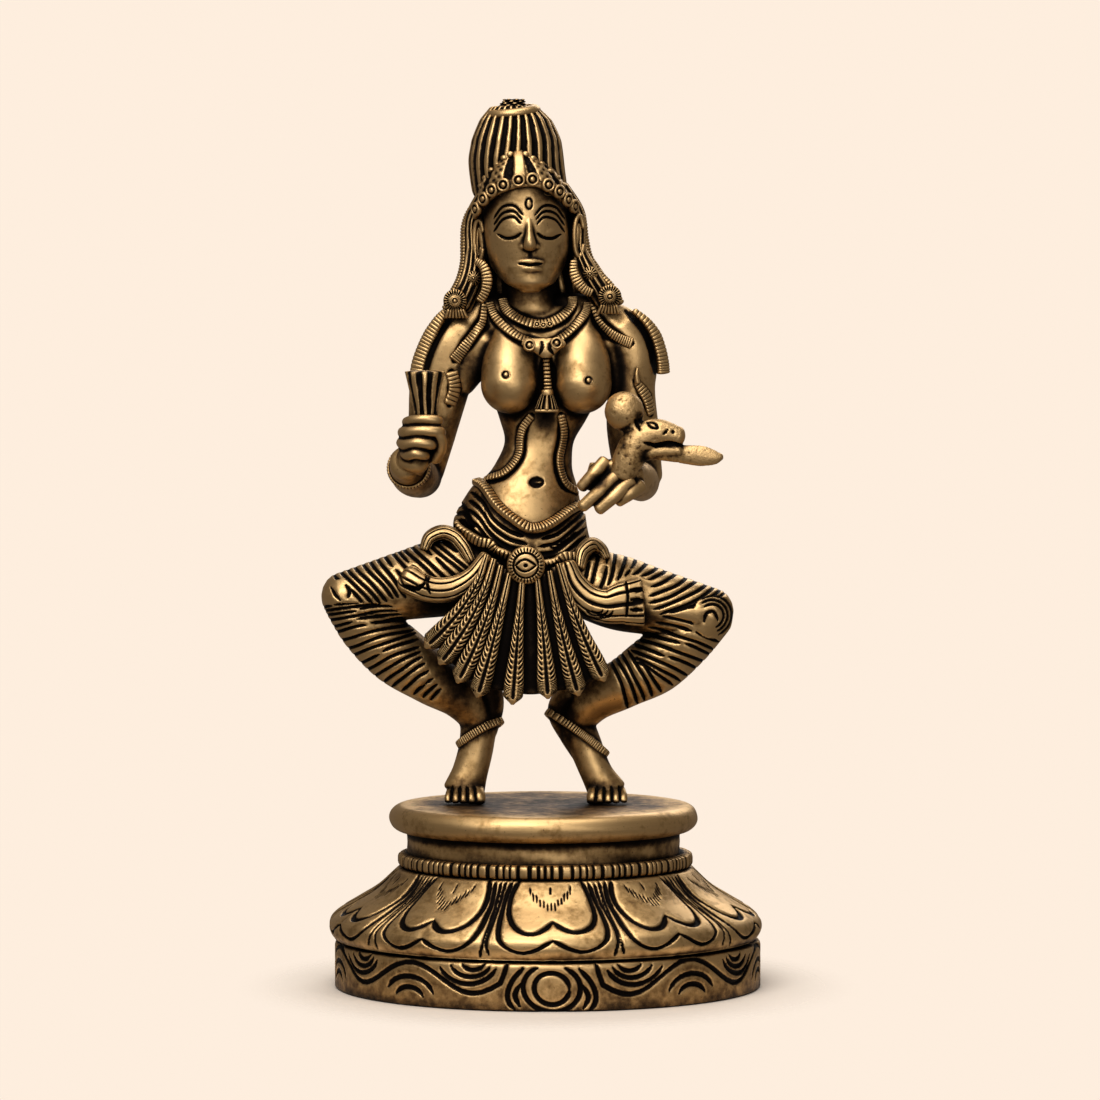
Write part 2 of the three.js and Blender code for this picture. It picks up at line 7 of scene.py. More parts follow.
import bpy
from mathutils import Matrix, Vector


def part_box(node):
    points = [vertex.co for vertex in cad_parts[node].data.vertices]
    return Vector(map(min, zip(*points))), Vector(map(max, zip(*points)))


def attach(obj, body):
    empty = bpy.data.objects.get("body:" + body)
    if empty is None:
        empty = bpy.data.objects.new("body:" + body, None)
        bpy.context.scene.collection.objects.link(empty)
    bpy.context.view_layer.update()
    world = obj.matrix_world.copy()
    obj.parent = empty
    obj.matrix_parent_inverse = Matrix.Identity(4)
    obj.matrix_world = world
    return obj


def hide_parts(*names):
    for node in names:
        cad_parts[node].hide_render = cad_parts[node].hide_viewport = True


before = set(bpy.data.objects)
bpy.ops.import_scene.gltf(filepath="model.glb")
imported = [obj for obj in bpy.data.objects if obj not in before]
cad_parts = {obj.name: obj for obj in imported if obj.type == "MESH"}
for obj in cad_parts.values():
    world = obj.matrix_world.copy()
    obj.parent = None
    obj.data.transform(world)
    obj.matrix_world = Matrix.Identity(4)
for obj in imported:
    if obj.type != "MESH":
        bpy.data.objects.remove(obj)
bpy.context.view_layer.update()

# %% [markdown]
# ## Units
# The figure was worked out in hundredths of its own height, up from the top of the base, so all of its
# forms are written that way here too: x to the right of the picture, y away from us, z up. Only a
# finished piece is turned into metres. The base is turned work, and it is written in millimetres.

# %% Units and libraries
import math

import bmesh
import bpy
import numpy as np
from mathutils import Vector, noise
from mathutils.bvhtree import BVHTree

FIGURE_UNIT = 0.002427
FIGURE_PLACE = np.array([-0.0006, 0.0, 0.0633])
MM = 0.001
BACK = np.array([0.0, 1.0, 0.0])
UP = np.array([0.0, 0.0, 1.0])
figure_height = (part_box("figure")[1][2] - FIGURE_PLACE[2]) / FIGURE_UNIT
print("the figure is", round(figure_height, 2), "hundredths high, from the soles to the top of the bun")

# %% [markdown]
# ## Meshes as arrays
# Moving ten thousand vertices one by one is slow. Blender's meshes can hand over all their points at
# once, and take them back, so every helper below works on whole arrays. Each mesh also carries a layer
# named patina, which says how black every vertex is.

# %% Arrays in and out of a mesh
def as_mesh(bm):
    bm.normal_update()
    bmesh.ops.recalc_face_normals(bm, faces=bm.faces)
    mesh = bpy.data.meshes.new("form")
    bm.to_mesh(mesh)
    bm.free()
    return mesh


def points_of(mesh):
    flat = np.empty(len(mesh.vertices) * 3)
    mesh.vertices.foreach_get("co", flat)
    return flat.reshape(-1, 3)


def normals_of(mesh):
    flat = np.empty(len(mesh.vertices) * 3, dtype=np.float32)
    mesh.vertex_normals.foreach_get("vector", flat)
    return flat.reshape(-1, 3).astype(float)


def move_points(mesh, points):
    mesh.vertices.foreach_set("co", points.ravel())
    mesh.update()


def blacken(mesh, share):
    """Patina that stays in a cut: each vertex keeps the darkest share it was ever given."""
    layer = mesh.attributes.get("patina") or mesh.attributes.new("patina", "FLOAT", "POINT")
    before = np.zeros(len(mesh.vertices), dtype=np.float32)
    layer.data.foreach_get("value", before)
    layer.data.foreach_set("value", np.maximum(before, np.clip(share, 0, 1)).astype(np.float32))


def add_object(name, data):
    made = bpy.data.objects.new(name, data)
    bpy.context.scene.collection.objects.link(made)
    return made


def merged(meshes):
    bm = bmesh.new()
    for mesh in meshes:
        blacken(mesh, 0.0)
        bm.from_mesh(mesh)
    whole = bpy.data.meshes.new("form")
    bm.to_mesh(whole)
    bm.free()
    return whole


# %% [markdown]
# ## A smooth line through a few points
# All the limbs follow a Catmull-Rom curve, the same kind of curve that the plain solids follow, so the
# two stay together.

# %% Catmull-Rom curve
def curve(stations, share):
    p = np.asarray(stations, float)
    spans = len(p) - 1
    padded = np.vstack([2 * p[0] - p[1], p, 2 * p[-1] - p[-2]])
    span = np.clip(np.floor(share * spans).astype(int), 0, spans - 1)
    w = (share * spans - span)[:, None]
    before, start, end, after = (padded[span + k] for k in range(4))

    def step(a, b):
        return np.maximum(np.linalg.norm(b - a, axis=1, keepdims=True) ** 0.5, 1e-3)

    d0, d1, d2 = step(before, start), step(start, end), step(end, after)
    slope_in = ((start - before) / d0 - (end - before) / (d0 + d1) + (end - start) / d1) * d1
    slope_out = ((end - start) / d1 - (after - start) / (d1 + d2) + (after - end) / d2) * d1
    cubic = 2 * (start - end) + slope_in + slope_out
    square = 3 * (end - start) - 2 * slope_in - slope_out
    return start + slope_in * w + square * w**2 + cubic * w**3


def smooth_line(points, count):
    return curve(points, np.linspace(0, 1, count))


def unit_rows(v):
    return v / np.maximum(np.linalg.norm(v, axis=1, keepdims=True), 1e-9)


# %% [markdown]
# ## A limb
# A ball from bmesh is drawn out along the curve. Its rows become sections, each with a half width and a
# half depth, and its two ends stay round. Because it starts as a ball it is closed, without a seam. A
# relief is a function of the place along the limb and of the angle round it, 0 at the front, and it
# pushes the skin out or in.

# %% Limb
def limb(
    stations, around=32, along=48, caps=5, ends=(0.5, 0.5), level=False, face=BACK, relief=None, square=1.0,
):
    rows = along + 2 * caps
    bm = bmesh.new()
    bmesh.ops.create_uvsphere(bm, u_segments=around, v_segments=rows, radius=1.0)
    ball = np.array([v.co[:] for v in bm.verts])
    table = np.asarray(stations, float)
    row = np.rint(np.arccos(np.clip(ball[:, 2], -1, 1)) / math.pi * rows)
    turn = np.arctan2(ball[:, 1], ball[:, 0])
    share = np.clip((row - caps) / along, 0, 1)
    girth = np.hstack([table[:, 3:5], np.zeros((len(table), 1))])
    spot, size = curve(table[:, :3], share), curve(girth, share)
    if level:
        tangent = np.tile(UP, (len(spot), 1))
    else:
        ahead, behind = np.minimum(share + 1e-3, 1), np.maximum(share - 1e-3, 0)
        tangent = unit_rows(curve(table[:, :3], ahead) - curve(table[:, :3], behind))
    face = np.asarray(face, float)
    if face.ndim == 2:
        place = share * (len(face) - 1)
        face = np.stack([np.interp(place, np.arange(len(face)), face[:, k]) for k in range(3)], axis=1)
    across = unit_rows(np.cross(tangent, face))
    through = np.cross(across, tangent)
    from_end = np.minimum(row, rows - row)
    rounding = np.minimum(from_end / caps, 1) * (math.pi / 2)
    cos_turn = np.sign(np.cos(turn)) * np.abs(np.cos(turn)) ** square
    sin_turn = np.sign(np.sin(turn)) * np.abs(np.sin(turn)) ** square
    w, d = np.maximum(size[:, 0], 0.01), np.maximum(size[:, 1], 0.01)
    drawn = np.where(share < 0.5, -ends[0], ends[1]) * np.minimum(w, d) * np.cos(rounding)
    spread = np.sin(rounding)
    point = spot + across * (cos_turn * w * spread)[:, None] + through * (sin_turn * d * spread)[:, None]
    point += tangent * drawn[:, None]
    pushed = np.zeros(len(point))
    if relief:
        out = unit_rows(across * (cos_turn / w)[:, None] + through * (sin_turn / d)[:, None])
        angle = (turn + 1.5 * math.pi) % (2 * math.pi) - math.pi
        pushed = relief(share, angle, point) * np.minimum(spread * 1.5, 1)
        point += out * pushed[:, None]
    for v, co in zip(bm.verts, point):
        v.co = co
    mesh = as_mesh(bm)
    blacken(mesh, -2.4 * pushed)
    return mesh


# %% [markdown]
# ## Melting forms together
# Wax parts are melted into each other before a casting. The Remesh modifier does that: it fills all the
# closed forms with a fine grain and draws one skin round them, and a little smoothing softens the joins.

# %% Melt
def melted(meshes, grain, rounds):
    wax = add_object("wax", merged(meshes))
    melt = wax.modifiers.new("melt", "REMESH")
    melt.mode = "VOXEL"
    melt.voxel_size = grain
    soften = wax.modifiers.new("soften", "SMOOTH")
    soften.factor = 0.5
    soften.iterations = rounds
    skin = bpy.data.meshes.new_from_object(wax.evaluated_get(bpy.context.evaluated_depsgraph_get()))
    bpy.data.objects.remove(wax)
    return skin


# %% [markdown]
# ## Cut lines
# A chased line is a groove that follows a drawn stroke. For every vertex the helper finds the distance
# to the nearest stroke, and the groove's depth follows from it. Strokes thin out at their two ends, as
# a punch that is lifted leaves them.

# %% Distance to strokes
def groove(u, v, strokes, half_width):
    """How far down, 0 to 1, each place is in the grooves along strokes of flat points [u, v]."""
    depth = np.zeros(len(u))
    for stroke in strokes:
        points = np.asarray(stroke, float)
        low, high = points.min(0) - 2 * half_width, points.max(0) + 2 * half_width
        near = np.nonzero((u > low[0]) & (u < high[0]) & (v > low[1]) & (v < high[1]))[0]
        if not len(near):
            continue
        steps = np.linalg.norm(np.diff(points, axis=0), axis=1)
        walked = np.concatenate([[0], np.cumsum(steps)])
        best, where = np.full(len(near), 1e9), np.zeros(len(near))
        for k, length in enumerate(steps):
            side = (points[k + 1] - points[k]) / max(length, 1e-9)
            du, dv = u[near] - points[k][0], v[near] - points[k][1]
            run = np.clip(du * side[0] + dv * side[1], 0, length)
            gap = np.hypot(du - run * side[0], dv - run * side[1])
            closer = gap < best
            best[closer], where[closer] = gap[closer], walked[k] + run[closer]
        from_tip = np.minimum(where, walked[-1] - where)
        width = half_width * np.clip(0.35 + from_tip / (3 * half_width), 0, 1)
        depth[near] = np.maximum(depth[near], np.clip(1.25 * (1 - best / width), 0, 1))
    return depth * depth * (3 - 2 * depth)


def bent(points, count=12):
    """A smooth stroke through a few flat points."""
    return smooth_line(np.column_stack([np.asarray(points, float), np.zeros(len(points))]), count)[:, :2]


# %% [markdown]
# ## Wear
# Dark patina stays where a rag can't reach, and brass shines where it can. Each vertex is compared with
# a smoothed copy of its piece: what lies below the copy is a hollow, what stands above it is a high
# place. Both shares are kept on the mesh, and the finish reads them. An extra share darkens a whole
# piece; on the strips behind the pleats it is painted shade.

# %% Wear from the shape
def wear(mesh, extra_dark=0.0, reach=0.0011, hollow=0.00022, proud=0.00012):
    points, normals = points_of(mesh), normals_of(mesh)
    ends = np.empty(len(mesh.edges) * 2, dtype=np.int32)
    mesh.edges.foreach_get("vertices", ends)
    a, b = ends.reshape(-1, 2).T
    count = len(points)
    ties = np.maximum(np.bincount(a, minlength=count) + np.bincount(b, minlength=count), 1)
    step = np.mean(np.linalg.norm(points[a] - points[b], axis=1))
    rounds = int(np.clip(2.0 * (reach / step) ** 2, 3, 24))
    soft = points.copy()
    for _ in range(rounds):
        for k in range(3):
            near = np.bincount(a, soft[b, k], count) + np.bincount(b, soft[a, k], count)
            soft[:, k] += 0.6 * (near / ties - soft[:, k])
    below = ((soft - points) * normals).sum(1)
    for name, share in (("hollow", below / hollow + extra_dark), ("proud", -below / proud - extra_dark)):
        layer = mesh.attributes.new(name, "FLOAT", "POINT")
        layer.data.foreach_set("value", np.clip(share, 0, 1).astype(np.float32))


# %% [markdown]
# ## The finish
# One brass is set up three times: for the figure, for the base, and rougher for what was left as cast.
# An even gold would look like plastic, so its colour runs from rubbed gold through brown to near black.
# It reads the wear on the mesh, the shade of the neighbouring pieces, and some noise for stains and
# pits, and the surface under it gets fine scratches. The base's scratches run round it, as its brush did.

# %% Nodes
def feed(tree, socket, value):
    """A number or a colour is set on the socket itself, and another node's output is linked to it."""
    if hasattr(value, "is_output"):
        tree.links.new(value, socket)
    else:
        socket.default_value = value


def add_node(tree, kind, sockets=None, **settings):
    made = tree.nodes.new("ShaderNode" + kind)
    for key, value in settings.items():
        setattr(made, key, value)
    for key, value in (sockets or {}).items():
        feed(tree, made.inputs[key], value)
    return made


# %% Brass
BRASS_STEPS = (
    (0.0, (0.72, 0.465, 0.205, 1)),
    (0.18, (0.47, 0.285, 0.112, 1)),
    (0.36, (0.2, 0.112, 0.046, 1)),
    (0.58, (0.04, 0.025, 0.015, 1)),
    (1.0, (0.008, 0.006, 0.005, 1)),
)


def brass(name, scratches=(1.0, 1.0, 1.0), grit=0.0, tint=0.0):
    """scratches stretches the fine lines, grit roughens the skin, and tint darkens the whole piece."""
    material = bpy.data.materials.new(name)
    material.use_nodes = True
    tree = material.node_tree
    shader = tree.nodes["Principled BSDF"]
    shader.inputs["Metallic"].default_value = 1.0
    place = add_node(tree, "TexCoord").outputs["Object"]

    def math_node(operation, one, two=0.0, three=0.0, clamp=False):
        return add_node(
            tree, "Math", {0: one, 1: two, 2: three}, operation=operation, use_clamp=clamp,
        ).outputs[0]

    def plus(share, times, total):
        return math_node("MULTIPLY_ADD", share, times, total)

    def kept(layer):
        return add_node(tree, "Attribute", attribute_name=layer).outputs["Fac"]

    def cloud(scale, detail=3.0, stretch=(1.0, 1.0, 1.0), rough=0.55):
        mapping = add_node(tree, "Mapping", {"Vector": place, "Scale": stretch})
        sockets = {"Vector": mapping.outputs[0], "Scale": scale, "Detail": detail, "Roughness": rough}
        return add_node(tree, "TexNoise", sockets).outputs["Fac"]

    def shade(distance):
        open_share = add_node(tree, "AmbientOcclusion", {"Distance": distance}, samples=6).outputs["AO"]
        return math_node("SUBTRACT", 1.0, open_share)

    dark_patches, mottle, pits = cloud(90.0), cloud(420.0, 4.0), cloud(1500.0, 2.0)
    lines = cloud(260.0, 5.0, scratches, 0.7)
    dark = math_node("MULTIPLY", kept("hollow"), 0.9)
    dark = plus(kept("patina"), 0.9, dark)
    dark = plus(shade(0.0035), 0.9, dark)
    dark = plus(shade(0.022), 0.65, dark)
    dark = plus(math_node("SUBTRACT", dark_patches, 0.46), 0.9, dark)
    dark = plus(math_node("SUBTRACT", mottle, 0.5), 0.7 + grit, dark)
    dark = plus(math_node("GREATER_THAN", pits, 0.71 - 0.05 * grit), 0.35, dark)
    dark = plus(kept("proud"), -0.3, dark)
    dark = math_node("ADD", dark, tint, clamp=True)
    ramp = add_node(tree, "ValToRGB", {"Fac": dark})
    stops = ramp.color_ramp.elements
    for position, colour in BRASS_STEPS[1:-1]:
        stops.new(position)
    for stop, (position, colour) in zip(stops, BRASS_STEPS):
        stop.position, stop.color = position, colour
    gloss = add_node(tree, "MapRange", {"Value": dark, "To Min": 0.42 + 0.1 * grit, "To Max": 0.68})
    rough = math_node("MULTIPLY_ADD", math_node("SUBTRACT", lines, 0.5), 0.25, gloss.outputs[0], clamp=True)
    height = plus(lines, 0.4, math_node("MULTIPLY", mottle, 0.5 + 0.8 * grit))
    height = plus(pits, 0.3 + 0.8 * grit, height)
    bump = add_node(tree, "Bump", {"Strength": 0.28 + 0.3 * grit, "Distance": 0.00035, "Height": height})
    for socket, value in (
        ("Base Color", ramp.outputs["Color"]), ("Roughness", rough), ("Normal", bump.outputs[0]),
    ):
        feed(tree, shader.inputs[socket], value)
    print(name, "has", len(tree.nodes), "nodes")
    return material


figure_brass = brass("figure_brass", scratches=(1.0, 1.0, 3.0), tint=0.02)
rough_brass = brass("as_cast_brass", grit=0.6, tint=0.05)
base_brass = brass("base_brass", scratches=(0.25, 0.25, 6.0))

# %% [markdown]
# ## Finishing a piece
# A grid that is fine enough for a thin cut is far too fine for the smooth brass beside it. So every
# piece is made finer than it needs to be, and then the Decimate modifier joins its flattest triangles
# and leaves the cuts alone. The wear is measured before that, on the even grid.

# %% Finish a piece
def thinned(made, keep):
    """Let Decimate join the flattest triangles until only this share of them is left."""
    made.modifiers.new("thin", "DECIMATE").ratio = keep
    ready = made.evaluated_get(bpy.context.evaluated_depsgraph_get())
    made.data = bpy.data.meshes.new_from_object(ready)
    made.modifiers.clear()
    return made.data


IN_FIGURE = dict(node="figure", slot="figure_brass", unit=FIGURE_UNIT, place=FIGURE_PLACE)
IN_BASE = dict(node="lotus_base", slot="base_brass", unit=MM, place=np.zeros(3))
SKIN_KEEP, BODY_KEEP = 0.42, 0.45


def piece(name, meshes, part=IN_FIGURE, finish=figure_brass, extra_dark=0.0, keep=0.7):
    """One object from some meshes: in metres, worn, finished, and riding in place of its plain solid.

    keep is the share of its triangles that stays."""
    mesh = merged(meshes)
    move_points(mesh, points_of(mesh) * part["unit"] + part["place"])
    mesh.shade_smooth()
    wear(mesh, extra_dark)
    mesh.materials.append(finish)
    made = add_object(name, mesh)
    mesh = thinned(made, keep)
    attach(made, "root")
    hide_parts(part["node"])
    mesh.calc_loop_triangles()
    print(name, "has", len(mesh.loop_triangles), "triangles")


def base_piece(name, mesh, keep=0.7):
    piece(name, [mesh], IN_BASE, base_brass, keep=keep)

# %% [markdown]
# ## The lotus base
# The real base was turned in wax as a round form and then pressed a little oval. Here a profile of a few
# points is spun about the upright axis, and the spun ring is squeezed from front to back.

# %% Sizes of the base, in millimetres
oval = 0.86
base_height = 63.0
band_radius, band_height = 73.6, 16.4
rim_radius = 74.8
ring_radius, ring_foot = 50.8, 41.8
neck_radius = 47.2
lip_radius, lip_thickness = 53.4, 9.0
base_low, base_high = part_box("lotus_base")
print("the plain base is", [round((high - low) / MM, 1) for low, high in zip(base_low, base_high)], "mm")


# %% Roll a profile up
def turned(profile, steps):
    """A closed form from a profile of [radius, height] points that starts and ends on the axis.

    A spin of a thousand steps takes half a minute, so a flat grid is rolled up instead."""
    bm = bmesh.new()
    bmesh.ops.create_grid(bm, x_segments=steps, y_segments=len(profile) - 1, size=1.0)
    flat = np.array([v.co[:] for v in bm.verts])
    row = np.rint((flat[:, 1] + 1) / 2 * (len(profile) - 1)).astype(int)
    turn = np.rint((flat[:, 0] + 1) / 2 * steps) % steps * (2 * math.pi / steps)
    radius, height = np.asarray(profile, float)[row].T
    for v, co in zip(bm.verts, np.column_stack([radius * np.sin(turn), -radius * np.cos(turn), height])):
        v.co = co
    bmesh.ops.remove_doubles(bm, verts=bm.verts, dist=1e-4)
    return as_mesh(bm)


def between(one, two, count):
    return [tuple(row) for row in np.linspace(one, two, count + 1)[:-1]]


def round_parts(mesh):
    """The points, their distance from the axis, and their angle round it in degrees, 0 at the front."""
    points = points_of(mesh)
    radius = np.hypot(points[:, 0], points[:, 1])
    angle = np.degrees(np.arctan2(points[:, 0], -points[:, 1]))
    return points, radius, angle


def press_oval(mesh, points, shift=0.0):
    """The hand-made parts of the base don't quite line up, so each may sit a little to the side."""
    points[:, 0] += shift
    points[:, 1] *= oval
    move_points(mesh, points)


# %% [markdown]
# ## Petals on the shoulder
# Ten petals lie side by side. One petal is drawn once, in shares of its own half width and of the way
# down the shoulder, and folded onto all ten places. Every copy is bent a little differently, because
# the real ones were cut by hand.

# %% One petal's strokes
petal_count = 10
half_petal = 180 / petal_count
petal_offset = 2.0
shoulder_length = 34.0
WIDE_CUT, FAN_CUT, FINE_CUT = 1.2, 0.75, 0.42
inner_outline = [
    (-0.66, 0.0), (-0.74, 0.12), (-0.77, 0.26), (-0.74, 0.4), (-0.62, 0.53), (-0.45, 0.6), (-0.28, 0.61),
    (-0.12, 0.56), (0, 0.49),
]
outer_outline = [
    (-0.81, 0.02), (-0.85, 0.14), (-0.88, 0.28), (-0.87, 0.45), (-0.84, 0.58), (-0.76, 0.72), (-0.62, 0.82),
    (-0.43, 0.87), (-0.22, 0.81), (0, 0.7),
]
fan_line = [(-0.94, 0.02), (-0.965, 0.25), (-0.98, 0.5), (-0.965, 0.74), (-0.93, 0.93)]


def petal_width(share):
    radius = ring_radius + (rim_radius - ring_radius) * np.clip(share * 1.12, 0, 1)
    return math.radians(half_petal) * radius


def on_shoulder(points):
    table = np.asarray(points, float)
    return np.column_stack([table[:, 0] * petal_width(table[:, 1]), table[:, 1] * shoulder_length])


def both_sides(strokes):
    return [s for stroke in strokes for s in (stroke, np.asarray(stroke) * (-1, 1))]


def tick_marks():
    marks = [[(0, 0.07), (0, 0.18)]]
    for k in range(-6, 7):
        top = 0.27 - 0.2 * (abs(k) / 6) ** 1.4 + 0.02 * (k % 2)
        marks.append([(0.068 * k, top), (0.064 * k, top + 0.1)])
    return marks


wide_strokes = [bent(on_shoulder(s), 20) for s in both_sides([inner_outline, outer_outline])]
fan_strokes = [bent(on_shoulder(s), 20) for s in both_sides([fan_line])]
fine_strokes = [on_shoulder(s) for s in tick_marks()]

# %% Shoulder
shoulder_profile = [(0, ring_foot)]
shoulder_profile += between((40, ring_foot), (ring_radius - 1, ring_foot), 3)
slope = [
    (ring_radius, ring_foot, 0), (57.8, 34.6, 0), (65.2, 29.8, 0), (71.4, 26.0, 0), (73.9, 23.6, 0),
    (rim_radius - 0.3, 21.0, 0), (73.8, 18.4, 0), (72.6, 16.5, 0),
]
shoulder_profile += [tuple(p[:2]) for p in smooth_line(slope, 92)]
shoulder_profile += [(60, 16.2), (0, 16.2)]
shoulder = turned(shoulder_profile, 900)
normals = normals_of(shoulder)
points, radius, angle = round_parts(shoulder)
down = np.clip((ring_foot - points[:, 2]) / (ring_foot - band_height), 0, 1)
cell = np.floor((angle - petal_offset) / (2 * half_petal) + 0.5)
fold = (angle - petal_offset - 2 * half_petal * cell) / half_petal
lean = np.sin(cell * 2.4) * 0.035
fold = fold + lean * down + 0.012 * np.sin(9 * down + cell)
across = fold * petal_width(down)
along = down * shoulder_length * (1 + 0.025 * np.sin(cell * 1.7)) + 0.35 * np.sin(5 * fold + cell * 1.3)
outside = (points[:, 2] > 16.3) & (radius > ring_radius - 0.4)
fine = groove(across, along, fine_strokes, FINE_CUT)
wide = groove(across, along, wide_strokes, WIDE_CUT)
wide = np.maximum(wide, groove(across, along, fan_strokes, FAN_CUT))
cut = wide + 0.3 * fine
across_lobe, down_lobe = np.clip(np.abs(fold) / 0.9, 0, 1), np.clip(down / 0.97, 0, 1)
lobes = np.cos(across_lobe * math.pi / 2) ** 0.6 * np.sin(down_lobe * math.pi) ** 0.7
tip = np.exp(-((fold / 0.2) ** 2) - ((down - 0.84) / 0.11) ** 2)
valley = np.exp(-((fold / 0.07) ** 2)) * np.clip((down - 0.4) / 0.3, 0, 1)
swell = np.where(outside, lobes + 0.8 * tip - 0.25 * valley - 0.7 - cut, 0)
points += normals * swell[:, None]
points[:, 0] *= 1.01
press_oval(shoulder, points, shift=-0.8)
blacken(shoulder, np.where(outside, 1.4 * wide + 0.9 * fine, 0))
base_piece("lotus_shoulder", shoulder, SKIN_KEEP)

# %% [markdown]
# ## Scrolls on the band
# A wave runs round the lower band. Arcs hang in each of its dips and stand under each of its crests. A
# roundel of two circles breaks it at the front, and another one at the back.

# %% Strokes of the band, as [degrees round, millimetres up]
dips = [21 + 38 * k for k in range(4)]


def arc(centre, size, start, end, count=11):
    turn = np.radians(np.linspace(start, end, count))
    return np.column_stack([centre[0] + size[0] * np.cos(turn), centre[1] + size[1] * np.sin(turn)])


def half_band():
    wave_places = np.linspace(13.5, 166, 60)
    wave = np.column_stack([wave_places, 10.6 - 4.9 * np.cos(2 * math.pi * (wave_places - 21) / 38)])
    strokes = [np.vstack([[11.6, 16.2], [12.4, 12.6], wave])]
    for dip in dips:
        strokes += [arc((dip + 0.8 * k, 16.6), (3.4 + 2.5 * k, 3.0 + 2.4 * k), 200, 340) for k in range(3)]
        crest = dip + 19
        strokes += [arc((crest + 0.5, 2.2), (8.4 - 3.4 * k, 8.4 - 3.6 * k), 25, 160) for k in range(2)]
    strokes += [
        bent([(7.2, 14.6), (10.2, 10.2), (11.6, 5.6), (11.2, 2.5), (9.8, 0.3)]),
        bent([(8.0, 9.2), (9.6, 5.2), (8.4, 1.4)]),
    ]
    return strokes


def roundel(at):
    return [arc((at, 8.0), (4.6, 5.3), 0, 360, 30), arc((at, 8.0), (7.5, 7.9), 62, -242, 34)]


band_strokes = roundel(1.1) + roundel(181.1)
for side in (1, -1):
    band_strokes += [s * (side, 1) + (1.1, 0) for s in half_band()]
for wrap in (-360, 360):
    band_strokes += [s + (wrap, 0) for s in band_strokes[: 2 + 2 * len(half_band())]]

# %% Band
BAND_CUT, BAND_CUT_DEPTH = 1.15, 0.85
band_profile = [(0, 0), (40, 0), (72, 0), (73.2, 0.15)]
band_profile += between((band_radius, 0.6), (band_radius, 15.0), 34)
band_profile += [(73.4, 15.3), (73.0, 15.8), (72.4, 16.1), (60, 16.1), (0, 16.1)]
band = turned(band_profile, 960)
points, radius, angle = round_parts(band)
wobble = 0.35 * np.sin(np.radians(angle) * 7) + 0.2 * np.sin(np.radians(angle) * 17 + 1)
degree = math.radians(1) * band_radius
strokes = [s * (degree, 1) for s in band_strokes]
cut = groove(angle * degree, points[:, 2] + wobble, strokes, BAND_CUT)
on_side = radius > 72.8
shrink = np.where(on_side, 1 - BAND_CUT_DEPTH * cut / band_radius, 1)
points[:, 0] *= shrink
points[:, 1] *= shrink
press_oval(band, points)
blacken(band, np.where(on_side, 1.4 * cut, 0))
base_piece("lotus_band", band)

# %% [markdown]
# ## Ring of ticks, waist and lip
# The ring is a round moulding that was nicked all the way round with a chisel. The waist and the lip
# above it were only turned and brushed.

# %% Ring of ticks
tick_count = 110
ring_face = [
    (-2.4, 0.0), (-1.2, 0.05), (-0.5, 0.3), (-0.15, 0.8), (0, 1.5), (0, 2.3), (0, 3.1), (-0.15, 3.8),
    (-0.5, 4.3), (-1.2, 4.6), (-2.4, 4.75),
]
ring_face = [(ring_radius + dr, ring_foot + dz) for dr, dz in ring_face]
ring = turned([(0, 39), (46, 39)] + ring_face + [(46, 46.5), (0, 46.5)], tick_count * 9)
points, radius, angle = round_parts(ring)
nick = np.abs(((angle / 360 * tick_count + 0.25 * np.sin(np.radians(angle) * 23)) % 1) - 0.5) * 2
nick = np.clip((nick - 0.62) / 0.14, 0, 1) * np.clip((radius - 48.6) / 0.6, 0, 1)
ragged = 0.12 * np.sin(np.radians(angle) * 61) + 0.1 * np.sin(np.radians(angle) * 37)
reach = np.where(radius > 46.5, 1 - (0.95 * nick + ragged * (radius > 48)) / np.maximum(radius, 1), 1)
points[:, 0] *= reach
points[:, 1] *= reach
press_oval(ring, points, shift=-0.8)
blacken(ring, nick)
base_piece("tick_ring", ring)

# %% Waist and lip
lip_round = lip_thickness / 2
lip_arc = arc((lip_radius - lip_round, base_height - lip_round), (lip_round, lip_round), -84, 90, 25)
top_profile = [(0, 43.0), (40, 43.0), (neck_radius + 0.6, 43.4), (neck_radius + 0.25, 44.4)]
top_profile += between((neck_radius, 45.5), (neck_radius, 53.0), 8)
top_profile += [(neck_radius + 0.2, 53.6), (neck_radius + 0.9, 53.95)]
top_profile += [tuple(p) for p in lip_arc]
top_profile += [(r, base_height) for r in (47, 44, 40, 35, 29, 22, 14, 6, 0)]
base_top = turned(top_profile, 360)
points, radius, angle = round_parts(base_top)
turn = np.radians(angle)
uneven = 0.12 * np.sin(3 * turn + 1) + 0.08 * np.sin(7 * turn + points[:, 2]) + 0.05 * np.sin(13 * turn)
side = (radius > 44) & (points[:, 2] > 44)
points[:, 0] *= np.where(side, 1 - (uneven + 0.12) / np.maximum(radius, 1), 1)
points[:, 1] *= np.where(side, 1 - (uneven + 0.12) / np.maximum(radius, 1), 1)
on_top = np.clip((48 - radius) / 9, 0, 1) * (points[:, 2] > base_height - 0.5)
press_oval(base_top, points, shift=-1.5)
blacken(base_top, 0.42 * on_top)
base_piece("waist_and_lip", base_top, keep=1.0)

# %% [markdown]
# ## The body
# Trunk, neck, breasts and arms are limbs that are melted into one skin, because the real body is one
# smooth casting with no joins. The legs are wrapped in cloth, so they come later as pieces of their own.

